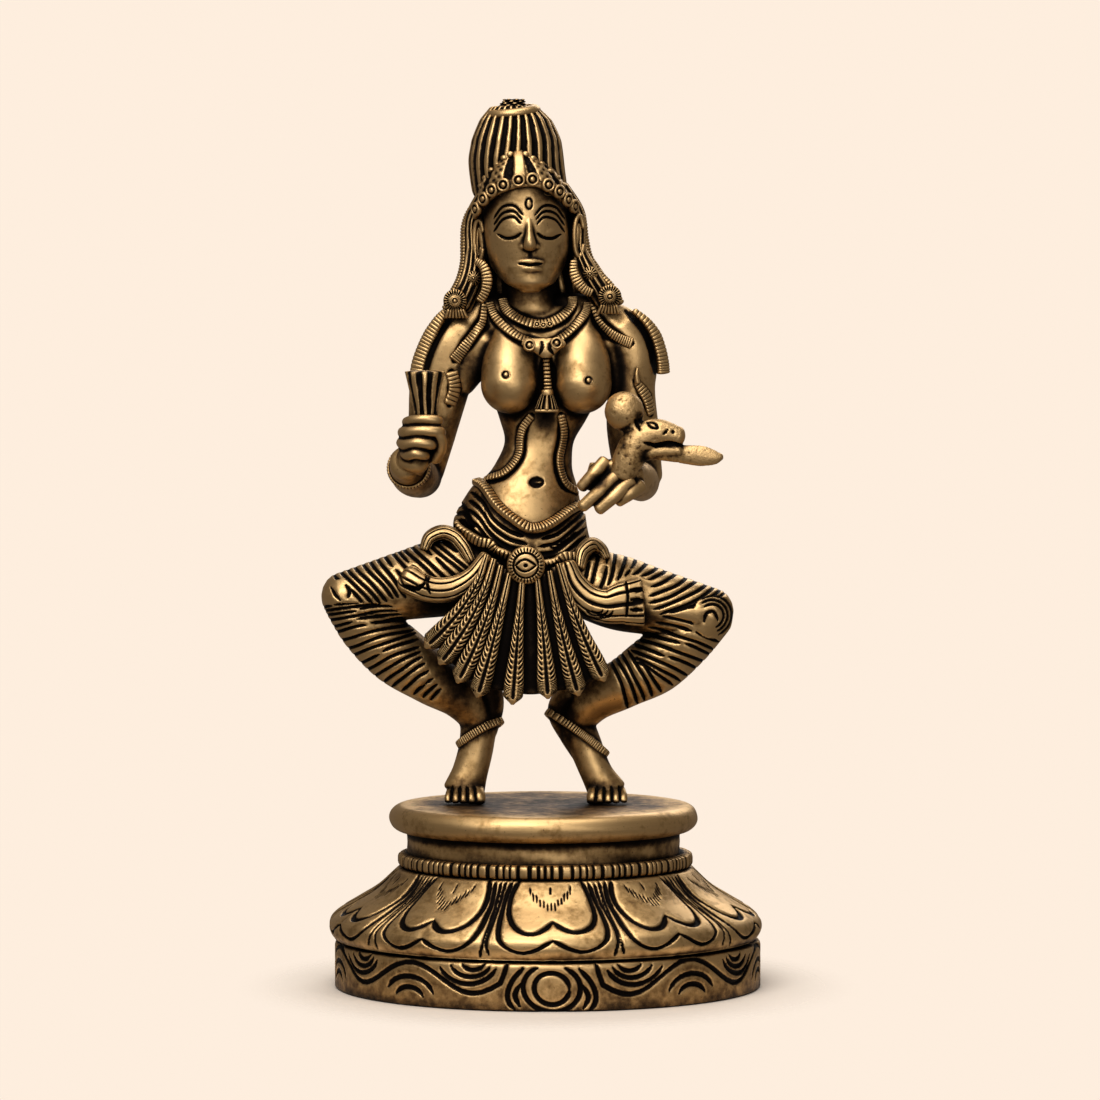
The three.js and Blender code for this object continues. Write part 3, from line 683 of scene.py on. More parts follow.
# %% Trunk, neck and breasts
trunk = [
    [-1.8, 0.5, 25.5, 4.8, 3.8],
    [-1.7, 0.5, 29.0, 7.1, 6.0],
    [-2.0, 0.5, 33.0, 8.2, 7.2],
    [-3.1, 0.5, 36.8, 9.1, 7.4],
    [-3.7, 0.2, 40.1, 9.0, 7.0],
    [-2.9, 0.2, 44.6, 7.5, 5.8],
    [-1.9, 0.2, 47.8, 5.6, 4.9],
    [-1.0, 0.3, 51.2, 4.9, 4.5],
    [-0.4, 0.3, 54.7, 6.2, 4.9],
    [-0.1, 0.2, 58.8, 8.0, 5.6],
    [-0.3, 0.5, 63.8, 9.4, 5.8],
    [-0.8, 0.8, 66.5, 10.2, 5.0],
    [-0.8, 1.0, 68.8, 8.6, 4.0],
    [-1.5, 1.0, 70.6, 5.6, 3.2],
]
neck = [[-1.9, 0.6, 70.0, 4.3, 3.6], [-2.2, 0.2, 72.0, 3.3, 3.3], [-2.3, 0.0, 75.8, 3.2, 3.5]]


def ball(centre, radii, segments=48):
    bm = bmesh.new()
    bmesh.ops.create_uvsphere(bm, u_segments=segments, v_segments=segments * 2 // 3, radius=1.0)
    bmesh.ops.scale(bm, verts=bm.verts, vec=radii)
    bmesh.ops.translate(bm, verts=bm.verts, vec=centre)
    return as_mesh(bm)


def breast(x):
    slope = [
        [x * 0.8, -0.2, 70.0, 1.8, 1.6], [x * 0.9, -2.0, 66.6, 3.0, 2.6], [x * 0.98, -3.5, 63.0, 4.0, 3.6],
        [x, -4.0, 59.7, 4.2, 4.2],
    ]
    return limb(slope, 48, 50, caps=12, ends=(0.5, 1.0))


# %% Arms
right_upper = [
    [-11.4, 0.6, 67.4, 3.7, 3.5],
    [-13.4, 0.6, 64.6, 4.2, 3.7],
    [-14.9, 0.6, 60.0, 4.3, 3.6],
    [-16.0, 0.2, 53.9, 3.6, 3.2],
    [-17.5, 0.6, 47.2, 3.0, 3.0],
]
right_fore = [[-17.8, 0.8, 46.4, 3.1, 3.0], [-18.6, -3.5, 46.9, 3.2, 3.1], [-19.6, -11.0, 48.9, 2.3, 2.4]]
left_upper = [
    [10.4, 0.6, 67.4, 3.8, 3.6],
    [12.0, 0.6, 64.4, 3.9, 3.7],
    [12.1, 0.6, 58.8, 3.4, 3.4],
    [12.3, 0.6, 53.4, 3.7, 3.3],
    [13.2, 1.0, 46.2, 3.4, 3.2],
]
left_fore = [[13.6, 0.8, 45.8, 2.6, 2.9], [12.8, -3.5, 46.2, 2.7, 2.8], [10.4, -11.2, 47.6, 1.9, 2.0]]
shoulders = [
    [[-4.0, 1.2, 70.4, 2.0, 2.2], [-8.6, 0.9, 69.2, 2.8, 3.0], [-12.0, 0.7, 67.2, 3.4, 3.4]],
    [[1.2, 1.2, 70.4, 2.0, 2.2], [6.8, 0.9, 69.2, 2.8, 3.0], [10.7, 0.7, 67.2, 3.5, 3.4]],
]
armpits = [
    [[-8.6, -0.8, 66.0, 3.0, 3.0], [-10.6, -0.6, 62.0, 2.4, 2.6], [-12.0, -0.2, 59.4, 1.8, 2.2]],
    [[7.8, -0.8, 65.0, 2.8, 3.0], [9.6, -0.4, 60.6, 2.2, 2.4], [10.6, 0.0, 57.6, 1.6, 2.0]],
]

# %% Melt the body
flesh = [limb(trunk, 64, 90, level=True, ends=(0.1, 0.1)), limb(neck, 40, 16, level=True)]
flesh += [breast(-5.0), breast(5.1)]
flesh += [limb(s, 32, 20, face=UP) for s in shoulders]
flesh += [limb(s, 32, 40) for s in (right_upper, left_upper)]
flesh += [limb(s, 32, 30, face=UP) for s in (right_fore, left_fore)]
flesh += [limb(s, 24, 12) for s in armpits]
body = melted(flesh, 0.24, rounds=9)
print("the body's skin has", len(body.vertices), "points")

# %% [markdown]
# ## Hollows and painted shade
# Some marks have no edge, such as the hollow under the ribs, and the painted shade where two forms meet
# and little light gets in. Both fade out from a place that is given as seen from the front.

# %% Press a hollow, paint shade
def press(mesh, centre, size, depth):
    points, normals = points_of(mesh), normals_of(mesh)
    gap = ((points[:, 0] - centre[0]) / size[0]) ** 2 + ((points[:, 2] - centre[1]) / size[1]) ** 2
    front = np.clip(-normals[:, 1] * 2, 0, 1)
    move_points(mesh, points - normals * (depth * np.exp(-gap) * front)[:, None])


def paint_shade(mesh, spots):
    """Soft painted shade seen from the front, each [x, z, half width, half height, share]."""
    points, normals = points_of(mesh), normals_of(mesh)
    share = np.zeros(len(points))
    for x, z, wide, high, most in spots:
        gap = ((points[:, 0] - x) / wide) ** 2 + ((points[:, 2] - z) / high) ** 2
        share = np.maximum(share, most * np.exp(-gap))
    blacken(mesh, share * (normals[:, 1] < 0.3))


press(body, (-0.4, 53.5), (2.2, 4.5), 0.45)
# Painted shade beside the neck, in the armpits, under and between the breasts, at the sides of the waist
# and on the arms.
neck_shade = [[-6.8, 73.2, 2.2, 2.6, 1], [2.4, 73.4, 2.2, 2.6, 1]]
armpit_shade = [[-10.6, 62, 1.2, 4.5, 0.6], [10.4, 61, 1.2, 4.5, 0.6]]
breast_shade = [[0, 55.2, 1.7, 1.8, 0.9], [-5, 55.3, 3.6, 0.9, 0.5], [5.2, 55.3, 3.6, 0.9, 0.5]]
waist_shade = [[-6.4, 50, 1.6, 5, 0.35], [4.6, 50, 1.6, 5, 0.35]]
arm_shade = [[-17, 55, 3, 5, 0.35], [12.6, 52, 3, 4, 0.4], [-17.4, 47, 2.2, 1.6, 0.6]]
paint_shade(body, neck_shade + armpit_shade + breast_shade + waist_shade + arm_shade)

# %% [markdown]
# ## Straps and cords on the body
# Every strap is drawn as seen from the front and then laid on the skin: a ray from the front finds the
# place where it lies and the direction in which it faces. The section is a rounded bar, and ticks are
# nicked across it at even steps. The skin beside it is sunk and blackened, as a chaser outlines a strap.

# %% Lay a line on a skin
def tree_of(mesh):
    return BVHTree.FromPolygons(points_of(mesh).tolist(), [tuple(f.vertices) for f in mesh.polygons])


body_tree = tree_of(body)


def lay(points, tree, count, lift, reach=4.0):
    """Places on the skin along a line, and the way out of the skin at each of them."""
    spots, outs = [], []
    for p in smooth_line(points, count):
        hit, normal, _, _ = tree.ray_cast(Vector((p[0], -60, p[2])), Vector((0, 1, 0)))
        if hit is None or abs(hit[1] - p[1]) > reach or normal[1] > -0.15:
            hit, normal, _, _ = tree.find_nearest(Vector(p))
        spots.append(hit)
        outs.append(normal)
    spots, outs = np.array([s[:] for s in spots]), np.array([o[:] for o in outs])
    for _ in range(max(3, count // 12)):
        spots[1:-1] = (spots[:-2] + 2 * spots[1:-1] + spots[2:]) / 4
        outs[1:-1] = (outs[:-2] + 2 * outs[1:-1] + outs[2:]) / 4
    outs = unit_rows(outs)
    return spots + outs * lift, outs


# %% Strap
def ticks(length, spacing, depth, edge):
    count = max(round(length / spacing), 1)

    def relief(along, angle, point):
        place = (along * count) % 1
        cut = np.clip(1.4 - np.minimum(place, 1 - place) * 7.5, 0, 1)
        return -depth * cut * np.clip((np.cos(angle) - edge) * 2.5, 0, 1)

    return relief


def bar(
    spots, outs, half_width, half_depth, spacing=0.55, depth=0.3, ends=(0.3, 0.3), taper=None, around=16,
    edge=0.1,
):
    """A rounded bar with ticks across it. outs is the way it faces, one for all or one for each spot."""
    length = np.linalg.norm(np.diff(spots, axis=0), axis=1).sum()
    share = np.linspace(0, 1, len(spots))
    widths = half_width * (np.interp(share, *taper) if taper else np.ones(len(spots)))
    stations = np.column_stack([spots, widths, np.full(len(spots), half_depth)])
    relief = ticks(length, spacing, depth, edge) if depth else None
    rings = max(round(length / spacing), 1) * 6 if depth else int(length * 3)
    return limb(
        stations, around, max(rings, 12), caps=3, ends=ends, face=-np.asarray(outs, float), relief=relief,
        square=0.5,
    )


def strap(points, half_width, half_depth, tree=None, lift=0.1, **shape):
    spots, outs = lay(points, tree or body_tree, 40, lift)
    return bar(spots, outs, half_width, half_depth, **shape)


def trench(mesh, line, half_width, depth, black=1.0):
    """Sink and darken the skin under and beside a strap, so that it lies between two black edges."""
    points, normals = points_of(mesh), normals_of(mesh)
    stroke = smooth_line(line, 24)[:, [0, 2]]
    front = np.nonzero((normals[:, 1] < 0.1) & (points[:, 1] < 1.0))[0]
    down = groove(points[front, 0], points[front, 2], [stroke], half_width)
    points[front] -= normals[front] * (down * depth)[:, None]
    move_points(mesh, points)
    share = np.zeros(len(points))
    share[front] = 1.5 * down * black
    blacken(mesh, share)


# %% Band round a limb
def band_round(tree, centre, axis, half_width, half_depth, lift=0.1, **shape):
    """Rays go out from inside the limb, across the axis, and the band lies where they leave the skin."""
    axis = Vector(axis).normalized()
    side = axis.cross(Vector((0, 1, 0))).normalized()
    front = side.cross(axis)
    spots, outs = [], []
    for turn in np.linspace(0, 2 * math.pi, 41):
        out = side * math.cos(turn) + front * math.sin(turn)
        hit = tree.ray_cast(Vector(centre), out)[0]
        spots.append((hit or Vector(centre) + out * 3) + out * lift)
        outs.append(out)
    return bar(
        np.array([s[:] for s in spots]), np.array([o[:] for o in outs]), half_width, half_depth,
        ends=(0, 0), **shape,
    )


# %% Stud
RING_BEAD = [
    (0, -0.6), (0.8, -0.6), (1, -0.2), (0.98, 0.15), (0.82, 0.34), (0.68, 0.3), (0.56, -0.02),
    (0.44, -0.02), (0.34, 0.3), (0.2, 0.38), (0, 0.4),
]
LOW_RING = [
    (0, -0.6), (1.0, -0.6), (1.0, -0.08), (0.95, 0.0), (0.88, -0.05), (0.82, -0.3), (0.52, -0.3),
    (0.44, 0.02), (0.3, 0.14), (0, 0.18),
]


def stud(centre, out, radius, rows=RING_BEAD):
    """A small round boss, spun from a profile of [share out from its axis, height], each in radii."""
    bm = bmesh.new()
    chain = [bm.verts.new((r * radius, 0, h * radius)) for r, h in rows]
    lines = [bm.edges.new(pair) for pair in zip(chain, chain[1:])]
    bmesh.ops.spin(
        bm, geom=chain + lines, cent=(0, 0, 0), axis=(0, 0, 1), angle=2 * math.pi, steps=20, use_merge=True,
    )
    bmesh.ops.remove_doubles(bm, verts=bm.verts, dist=1e-5)
    turn = Vector((0, 0, 1)).rotation_difference(Vector(out))
    bmesh.ops.rotate(bm, verts=bm.verts, cent=(0, 0, 0), matrix=turn.to_matrix())
    bmesh.ops.translate(bm, verts=bm.verts, vec=Vector(centre))
    return as_mesh(bm)

# %% [markdown]
# ## Jewels on the body
# A choker and a collar lie round the neck, with a plate and a tassel hanging from them between the
# breasts. Straps cross the shoulders, cords run down both sides of the belly, and a lock of hair lies on
# each upper arm. All of them are the same ticked bar, so a table of lines and widths makes the lot.

# %% Lines of the necklaces, cords and locks
choker = [
    [-6.1, -1.5, 71.6], [-5.6, -3.3, 70.2], [-3.9, -4.6, 68.8], [-0.7, -5.4, 68.0], [2.1, -4.8, 69.0],
    [3.7, -3.2, 70.6], [3.8, -1.5, 71.8],
]
collar = [
    [-8.0, -0.5, 71.1], [-7.3, -3.2, 69.3], [-5.2, -5.4, 67.2], [-2.8, -6.6, 65.8], [0, -7.0, 65.2],
    [2.4, -6.4, 66.2], [4.4, -5.2, 68.1], [5.6, -3.2, 69.7], [5.9, -0.6, 71.1],
]
right_strap = [
    [-8.7, -2.2, 70.9], [-9.0, -3.8, 68.4], [-10.2, -4.0, 66.5], [-11.7, -3.9, 64.6], [-12.9, -3.8, 63.0],
]
left_strap = [
    [6.5, -2.4, 71.0], [7.5, -4.0, 68.6], [9.0, -4.4, 67.0], [10.6, -4.2, 66.0], [12.1, -4.0, 65.4],
]
right_cord = [
    [-2.0, -5.6, 55.3], [-3.2, -5.6, 53.6], [-3.6, -5.0, 51.8], [-3.7, -4.6, 50.0], [-4.5, -4.7, 48.5],
    [-6.0, -4.7, 47.1], [-7.9, -4.2, 46.4], [-9.9, -1.5, 45.6],
]
left_cord = [
    [2.1, -5.6, 55.4], [2.5, -5.6, 53.2], [2.3, -5.0, 51.2], [1.9, -4.6, 49.3], [2.1, -4.7, 47.3],
    [2.9, -4.2, 45.5], [4.7, -2.2, 44.3],
]
right_lock = [
    [-13.6, -2.2, 70.3], [-14.9, -2.2, 68.9], [-16.2, -1.8, 66.8], [-17.2, -1.5, 64.7], [-18.0, -1.3, 62.3],
    [-18.3, -1.2, 59.6],
]
left_lock = [
    [12.4, -2.2, 70.0], [14.2, -2.0, 68.4], [15.4, -1.6, 66.6], [16.1, -1.3, 64.6], [16.5, -1.1, 62.6],
    [16.6, -1.0, 61.2],
]
right_band = [[-13.3, -3, 61.4], [-12.9, -3, 59.2], [-13.6, -2.6, 56.8]]
left_band = [[12.7, -3, 60.0], [14.1, -2.4, 57.9], [14.9, -1.4, 55.4]]

# %% Necklaces, cords and locks
EVEN, WIDENING, POINTED = ([0, 1], [1, 1]), ([0, 0.5, 1], [0.55, 0.85, 1.15]), ([0, 0.3, 1], [0.6, 1, 1])
TOWARDS_US = (0, -1.0, 0)
STRAP_THICKNESS, TRENCH_BESIDE, TRENCH_DEPTH = 0.32, 0.62, 0.36
jewels = []
for line, half_width, spacing, taper in (
    (choker, 0.74, 0.42, EVEN),
    (collar, 0.62, 0.45, EVEN),
    (right_strap, 0.78, 0.42, WIDENING),
    (left_strap, 0.68, 0.42, WIDENING),
    (right_cord, 0.55, 0.42, EVEN),
    (left_cord, 0.55, 0.42, EVEN),
    (right_band, 0.9, 0.6, EVEN),
    (left_band, 0.75, 0.5, POINTED),
):
    ticked = dict(depth=0.16, spacing=spacing, taper=taper)
    jewels.append(strap(line, half_width, STRAP_THICKNESS, lift=0.08, **ticked))
    trench(body, line, half_width + TRENCH_BESIDE, TRENCH_DEPTH)
for line, half_width, way in ((right_lock, 1.0, -1), (left_lock, 0.85, 1)):
    lock_taper = ([0, 0.4, 1], [0.5, 1, 1.1])
    jewels.append(bar(
        smooth_line(line, 40), (0.45 * way, -0.9, 0), half_width, 0.6, depth=0.12, spacing=0.5,
        taper=lock_taper,
    ))
    trench(body, np.array(line) - (1.1 * way, 0, 0), 0.85, 0.25)
jewels.append(limb(
    [[12.9, -3.2, 61.9, 0.15, 0.2], [12.8, -3.3, 60.9, 0.3, 0.35], [12.9, -3.2, 59.9, 0.45, 0.4]], 12, 12,
))

# %% Navel, breastbone and small rings
def ring_on(mesh, centre, size, count, half_width, depth, black=1.0):
    """Sink a round line into a skin, as seen from the front."""
    trench(mesh, arc(centre, size, 0, 360, count)[:, [0, 0, 1]], half_width, depth, black)


trench(body, [[0, -5, 64.6], [0.2, -5, 60.5], [0.2, -5, 57.0]], 1.5, 0.4)
ring_on(body, (-1.2, 45.9), (0.85, 0.42), 24, 0.5, 0.3, 1.2)
jewels += [stud((x, -5.75, z), (0, -1, 0.3), 0.5) for x, z in ((-1.25, 68.1), (-0.35, 68.0), (0.55, 68.15))]
for x, z in ((-5.6, 61.1), (6.0, 60.3)):
    hit, out, _, _ = body_tree.ray_cast(Vector((x, -60, z)), Vector((0, 1, 0)))
    jewels.append(stud(hit + out * 0.03, out, 0.7, LOW_RING))
    ring_on(body, (x, z), (0.3, 0.3), 12, 0.62, 0.12)


# %% Pendant and tassel
def flutes(count, depth):
    return lambda along, angle, point: -depth * (0.5 - 0.5 * np.cos(count * angle)) ** 0.8


plate = limb(
    [
        [-0.3, -6.4, 66.2, 2.6, 0.4], [-0.3, -6.9, 65.4, 3.1, 0.6], [-0.1, -7.1, 64.5, 1.9, 0.6],
        [0.05, -7.1, 63.4, 0.6, 0.45],
    ],
    72, 60, level=True, ends=(0.5, 0.6),
)
for stroke in ([(-0.7, 65.9), (-0.5, 65.1), (-0.9, 63.9)], [(1.0, 65.9), (0.5, 64.9), (1.1, 63.9)]):
    trench(plate, [(x, 0, z) for x, z in stroke], 0.3, 0.25, 2)
jewels.append(plate)
jewels += [stud((x, -7.4, z), (0, -1, 0.12), 0.88) for x, z in ((-2.3, 65.2), (1.5, 65.5))]
strand = smooth_line([[0, -6.0, 63.4], [0.2, -5.6, 60.8], [0.3, -5.6, 58.4]], 20)
jewels.append(bar(strand, TOWARDS_US, 0.62, 0.5, taper=([0, 1], [0.7, 1.1])))
tassel = [[0.2, -5.9, 58.5, 0.8, 0.8], [0.15, -6.0, 57.6, 1.2, 0.8], [0.1, -6.1, 56.1, 1.75, 0.8]]
jewels.append(limb(tassel, 96, 24, ends=(0.2, 0.1), relief=flutes(16, 0.3), square=0.7))
jewels.append(limb([[0.2, -6.0, 58.8, 0.9, 0.7], [0.2, -6.0, 58.3, 0.95, 0.75]], 28, 6, ends=(0.4, 0.4)))
jewels.append(bar(np.linspace((-1.5, -6.5, 56.0), (1.7, -6.5, 56.0), 12), TOWARDS_US, 0.2, 0.25, depth=0))
piece("necklaces_and_cords", jewels)

# %% [markdown]
# ## The head
# A calm, plain face on a statue maker's usual proportions: the eyes are halfway up the head, the nose
# takes up a third of the face, and the lids are shut. The skull, nose, lips, lids and ears are melted
# together with a finer grain than the body, and the brows are cut as three bows on each side.

# %% Skull and features
skull = [
    [-2.2, -5.0, 72.9, 1.5, 1.3],
    [-2.3, -3.7, 73.9, 3.4, 3.5],
    [-2.55, -1.7, 76.3, 5.2, 5.6],
    [-2.6, -1.1, 78.6, 5.9, 6.4],
    [-2.8, -0.8, 81.7, 6.1, 6.9],
    [-3.1, -0.3, 85.4, 6.0, 6.95],
    [-3.3, -0.3, 87.6, 5.6, 6.7],
    [-3.4, 0.6, 90.0, 4.0, 4.9],
]
face_x = -2.35
head = [limb(skull, 72, 80, level=True, ends=(0.3, 0.3))]
nose = [
    [face_x, -6.9, 83.4, 0.42, 0.4], [face_x + 0.05, -7.6, 81.0, 0.5, 0.75],
    [face_x + 0.1, -8.0, 79.4, 0.85, 0.9], [face_x + 0.1, -7.7, 78.75, 0.8, 0.6],
]
head.append(limb(nose, 24, 30, ends=(0.3, 0.5)))
for side in (-1, 1):
    head.append(limb(
        [[face_x + side * 0.75, -7.2, 79.6, 0.3, 0.5], [face_x + side * 0.95, -7.2, 78.9, 0.5, 0.55]], 16,
        8,
    ))
    lid = [[
        face_x + side * (1.2 + 0.75 * k), -6.35 + 0.17 * k * k - 0.1 * k, 81.05 - 0.1 * (k - 2) ** 2 * 0.5,
        s, s,
    ] for k, s in enumerate((0.35, 0.75, 0.85, 0.75, 0.35))]
    head.append(limb(lid, 20, 20, ends=(0.4, 0.4)))
    ear = [
        [face_x + side * 6.35, -0.6, 83.4, 0.5, 1.1], [face_x + side * 6.75, -0.6, 81.6, 0.75, 1.5],
        [face_x + side * 6.6, -1.0, 79.0, 0.55, 1.1], [face_x + side * 6.5, -1.4, 76.6, 0.45, 0.8],
    ]
    head.append(limb(ear, 20, 20, ends=(0.5, 0.5)))
mouth_x = face_x + 0.15
for z, y, half, thick in ((76.95, -7.15, 1.7, 0.5), (76.0, -6.95, 1.35, 0.6)):
    lip = [[
        mouth_x + half * k, y + 0.5 * k * k, z - 0.15 * abs(k), thick * (1.05 - 0.6 * abs(k)), thick,
    ] for k in (-1, -0.5, 0, 0.5, 1)]
    head.append(limb(lip, 16, 24, face=BACK, ends=(0.3, 0.3)))
head.append(limb([[mouth_x, -5.3, 74.6, 1.3, 1.0], [mouth_x, -5.0, 74.0, 1.0, 1.0]], 20, 8))
head = melted(head, 0.14, rounds=3)
press(head, (mouth_x, 77.9), (0.3, 0.5), 0.12)
print("the head's skin has", len(head.vertices), "points")


# %% Cut the brows, lids and mouth
def cut_front(mesh, strokes, half_width, depth, behind=0.0):
    """Cut strokes into the skin that faces us, as far back as the given y."""
    points, normals = points_of(mesh), normals_of(mesh)
    front = (normals[:, 1] < -0.12) & (points[:, 1] < behind)
    down = np.zeros(len(points))
    down[front] = groove(points[front, 0], points[front, 2], strokes, half_width)
    move_points(mesh, points - normals * (down * depth)[:, None])
    blacken(mesh, 1.3 * down)


def on_face(side, *points):
    """Flat points beside the middle line of the face, mirrored to one side of it."""
    return [(face_x + side * x, z) for x, z in points]


brows = []
for side in (-1, 1):
    for k in range(3):
        brow = on_face(
            side, (0.85 + 0.15 * k, 83.4 - 0.62 * k), (2.1, 84.7 - 0.8 * k), (3.7, 84.6 - 0.9 * k),
            (5.0, 83.0 - 0.95 * k),
        )
        brows.append(bent(brow, 14))
lids = [bent(on_face(side, (1.1, 80.9), (2.0, 80.3), (3.3, 80.15), (4.5, 80.75)), 12) for side in (-1, 1)]
mouth = bent(
    [(mouth_x + x, z) for x, z in ((-1.7, 76.6), (-0.7, 76.55), (0, 76.42), (0.7, 76.55), (1.7, 76.6))], 12,
)
cut_front(head, brows, 0.24, 0.24)
cut_front(head, lids, 0.3, 0.34)
cut_front(head, [mouth], 0.24, 0.34)
cut_front(head, [arc((face_x, 85.0), (0.45, 0.75), 0, 360, 16)], 0.18, 0.18)
piece("head", [head], keep=SKIN_KEEP)

# %% [markdown]
# ## Hair
# The hair is combed up into a tall bun, and the rest falls in thick tresses on the shoulders and down the
# back. Single hairs would be far too fine for a casting, so each form is one limb with ribs all round
# it. On the bun the ribs are narrow and the valleys wide and dark. A padded ring and a knob close it.

# %% Bun
bun = [
    [-3.2, 1.6, 84.0, 5.4, 4.8],
    [-3.7, 1.8, 87.0, 6.8, 6.2],
    [-4.2, 2.1, 91.0, 6.8, 6.4],
    [-4.2, 2.1, 94.0, 6.4, 6.1],
    [-4.3, 1.9, 97.0, 5.1, 4.8],
    [-4.5, 1.5, 98.7, 3.5, 3.1],
]


def ribs(count, depth, lean=0.0):
    def relief(along, angle, point):
        wander = 0.5 * np.sin(3 * angle) + 0.25 * np.sin(9 * along + 5 * angle)
        wave = np.cos(count * (angle + lean * along) + wander)
        jitter = 1 + 0.2 * np.sin(5.3 * angle + 2) + 0.15 * np.sin(21 * along + 4 * angle)
        return -depth * np.clip(0.5 - 1.1 * wave, 0, 1) * jitter

    return relief


def lumps(along, angle, point):
    return 0.25 * np.sin(7 * angle + 4 * along) * np.sin(21 * along) - 0.15


turn = np.linspace(0, 2 * math.pi, 25)
tilt = 0.35 * np.cos(turn) + 0.35 * np.sin(turn)
padded_ring = [
    -4.6 + 3.0 * np.cos(turn), 1.0 + 2.8 * np.sin(turn), 98.1 + tilt, np.full(25, 0.85), np.full(25, 0.72),
]
hair = [limb(bun, 240, 56, level=True, ends=(0.1, 0.1), relief=ribs(25, 0.5, 0.12))]
hair.append(limb(np.column_stack(padded_ring), 14, 72, caps=2, ends=(0, 0), face=UP))
piece("bun", hair)
knob = [[-4.6, 1.2, 97.6, 2.4, 2.2], [-4.7, 1.2, 98.9, 2.0, 1.9], [-4.5, 1.2, 99.9, 1.5, 1.4]]
piece("bun_knob", [limb(knob, 60, 30, level=True, ends=(0.1, -0.5), relief=lumps)], extra_dark=1.3)

# %% Tresses
right_tress = [
    [-8.4, 0.8, 86.4, 1.4, 2.6], [-10.3, 1.0, 82.8, 1.3, 2.6], [-10.3, 0.4, 78.4, 1.4, 2.6],
    [-10.7, -0.6, 74.6, 1.8, 2.4], [-12.3, -1.4, 70.8, 2.0, 1.8],
]
left_tress = [
    [2.0, 0.8, 87.2, 1.4, 2.6], [4.3, 1.0, 83.6, 1.3, 2.6], [4.6, 0.4, 78.6, 1.4, 2.6],
    [6.2, -0.6, 75.0, 1.9, 2.4], [8.5, -1.4, 71.4, 2.0, 1.8],
]
back_hair = [
    [-3.0, 3.6, 86.0, 5.6, 3.6], [-2.8, 4.2, 80.0, 7.4, 3.4], [-2.4, 3.8, 72.0, 8.6, 2.8],
    [-1.6, 4.2, 65.5, 6.8, 2.2], [-1.0, 4.6, 57.0, 3.4, 1.4],
]
locks = [limb(t, 72, 60, relief=ribs(12, 0.28, 0.3)) for t in (right_tress, left_tress)]
locks.append(limb(back_hair, 150, 80, level=True, relief=ribs(22, 0.4, 0.1)))
piece("tresses", locks, extra_dark=0.3)

# %% [markdown]
# ## Legs
# Thigh, knee, calf, ankle, foot and toes are melted into one skin for each leg. Fine cloth is wound
# round it down to the lower calf. The chaser cut its folds line by line: each line crosses the limb
# from edge to edge at a slant, bends a little, and thins out at both ends. Some are cut in two strokes.
# A regular wave would look machined, so every line gets its own small bend from a seeded random draw.

# %% Fold lines across a limb
FOLD_BOW = 0.03
FOLD_CUT, FOLD_DEPTH, KNEE_CUT, TOE_CUT = 0.33, 0.36, 0.32, 0.22


def fold_lines(keys, count, seed):
    """Lines between two edges: each key is the [x, z] where a line begins and the [x, z] where it ends."""
    own = np.random.default_rng(seed)
    strokes = []
    for k in range(count):
        share = (k + own.uniform(-0.1, 0.1)) / (count - 1)
        x, z, end_x, end_z = curve(keys, np.clip([share], 0, 1))[0]
        t = np.linspace(-0.22, 1.1, 16)[:, None]
        way, side = np.array([end_x - x, end_z - z]), np.array([z - end_z, end_x - x])
        wave = own.uniform(0.004, 0.014) * np.sin(6.3 * t + own.uniform(0, 6.28))
        line = (x, z) + way * t + side * (FOLD_BOW * 4 * t * (1 - t) + wave)
        if own.random() < 0.2:
            cut = own.integers(6, 11)
            strokes += [line[:cut], line[cut:] + side * 0.02]
        else:
            strokes.append(line)
    return strokes


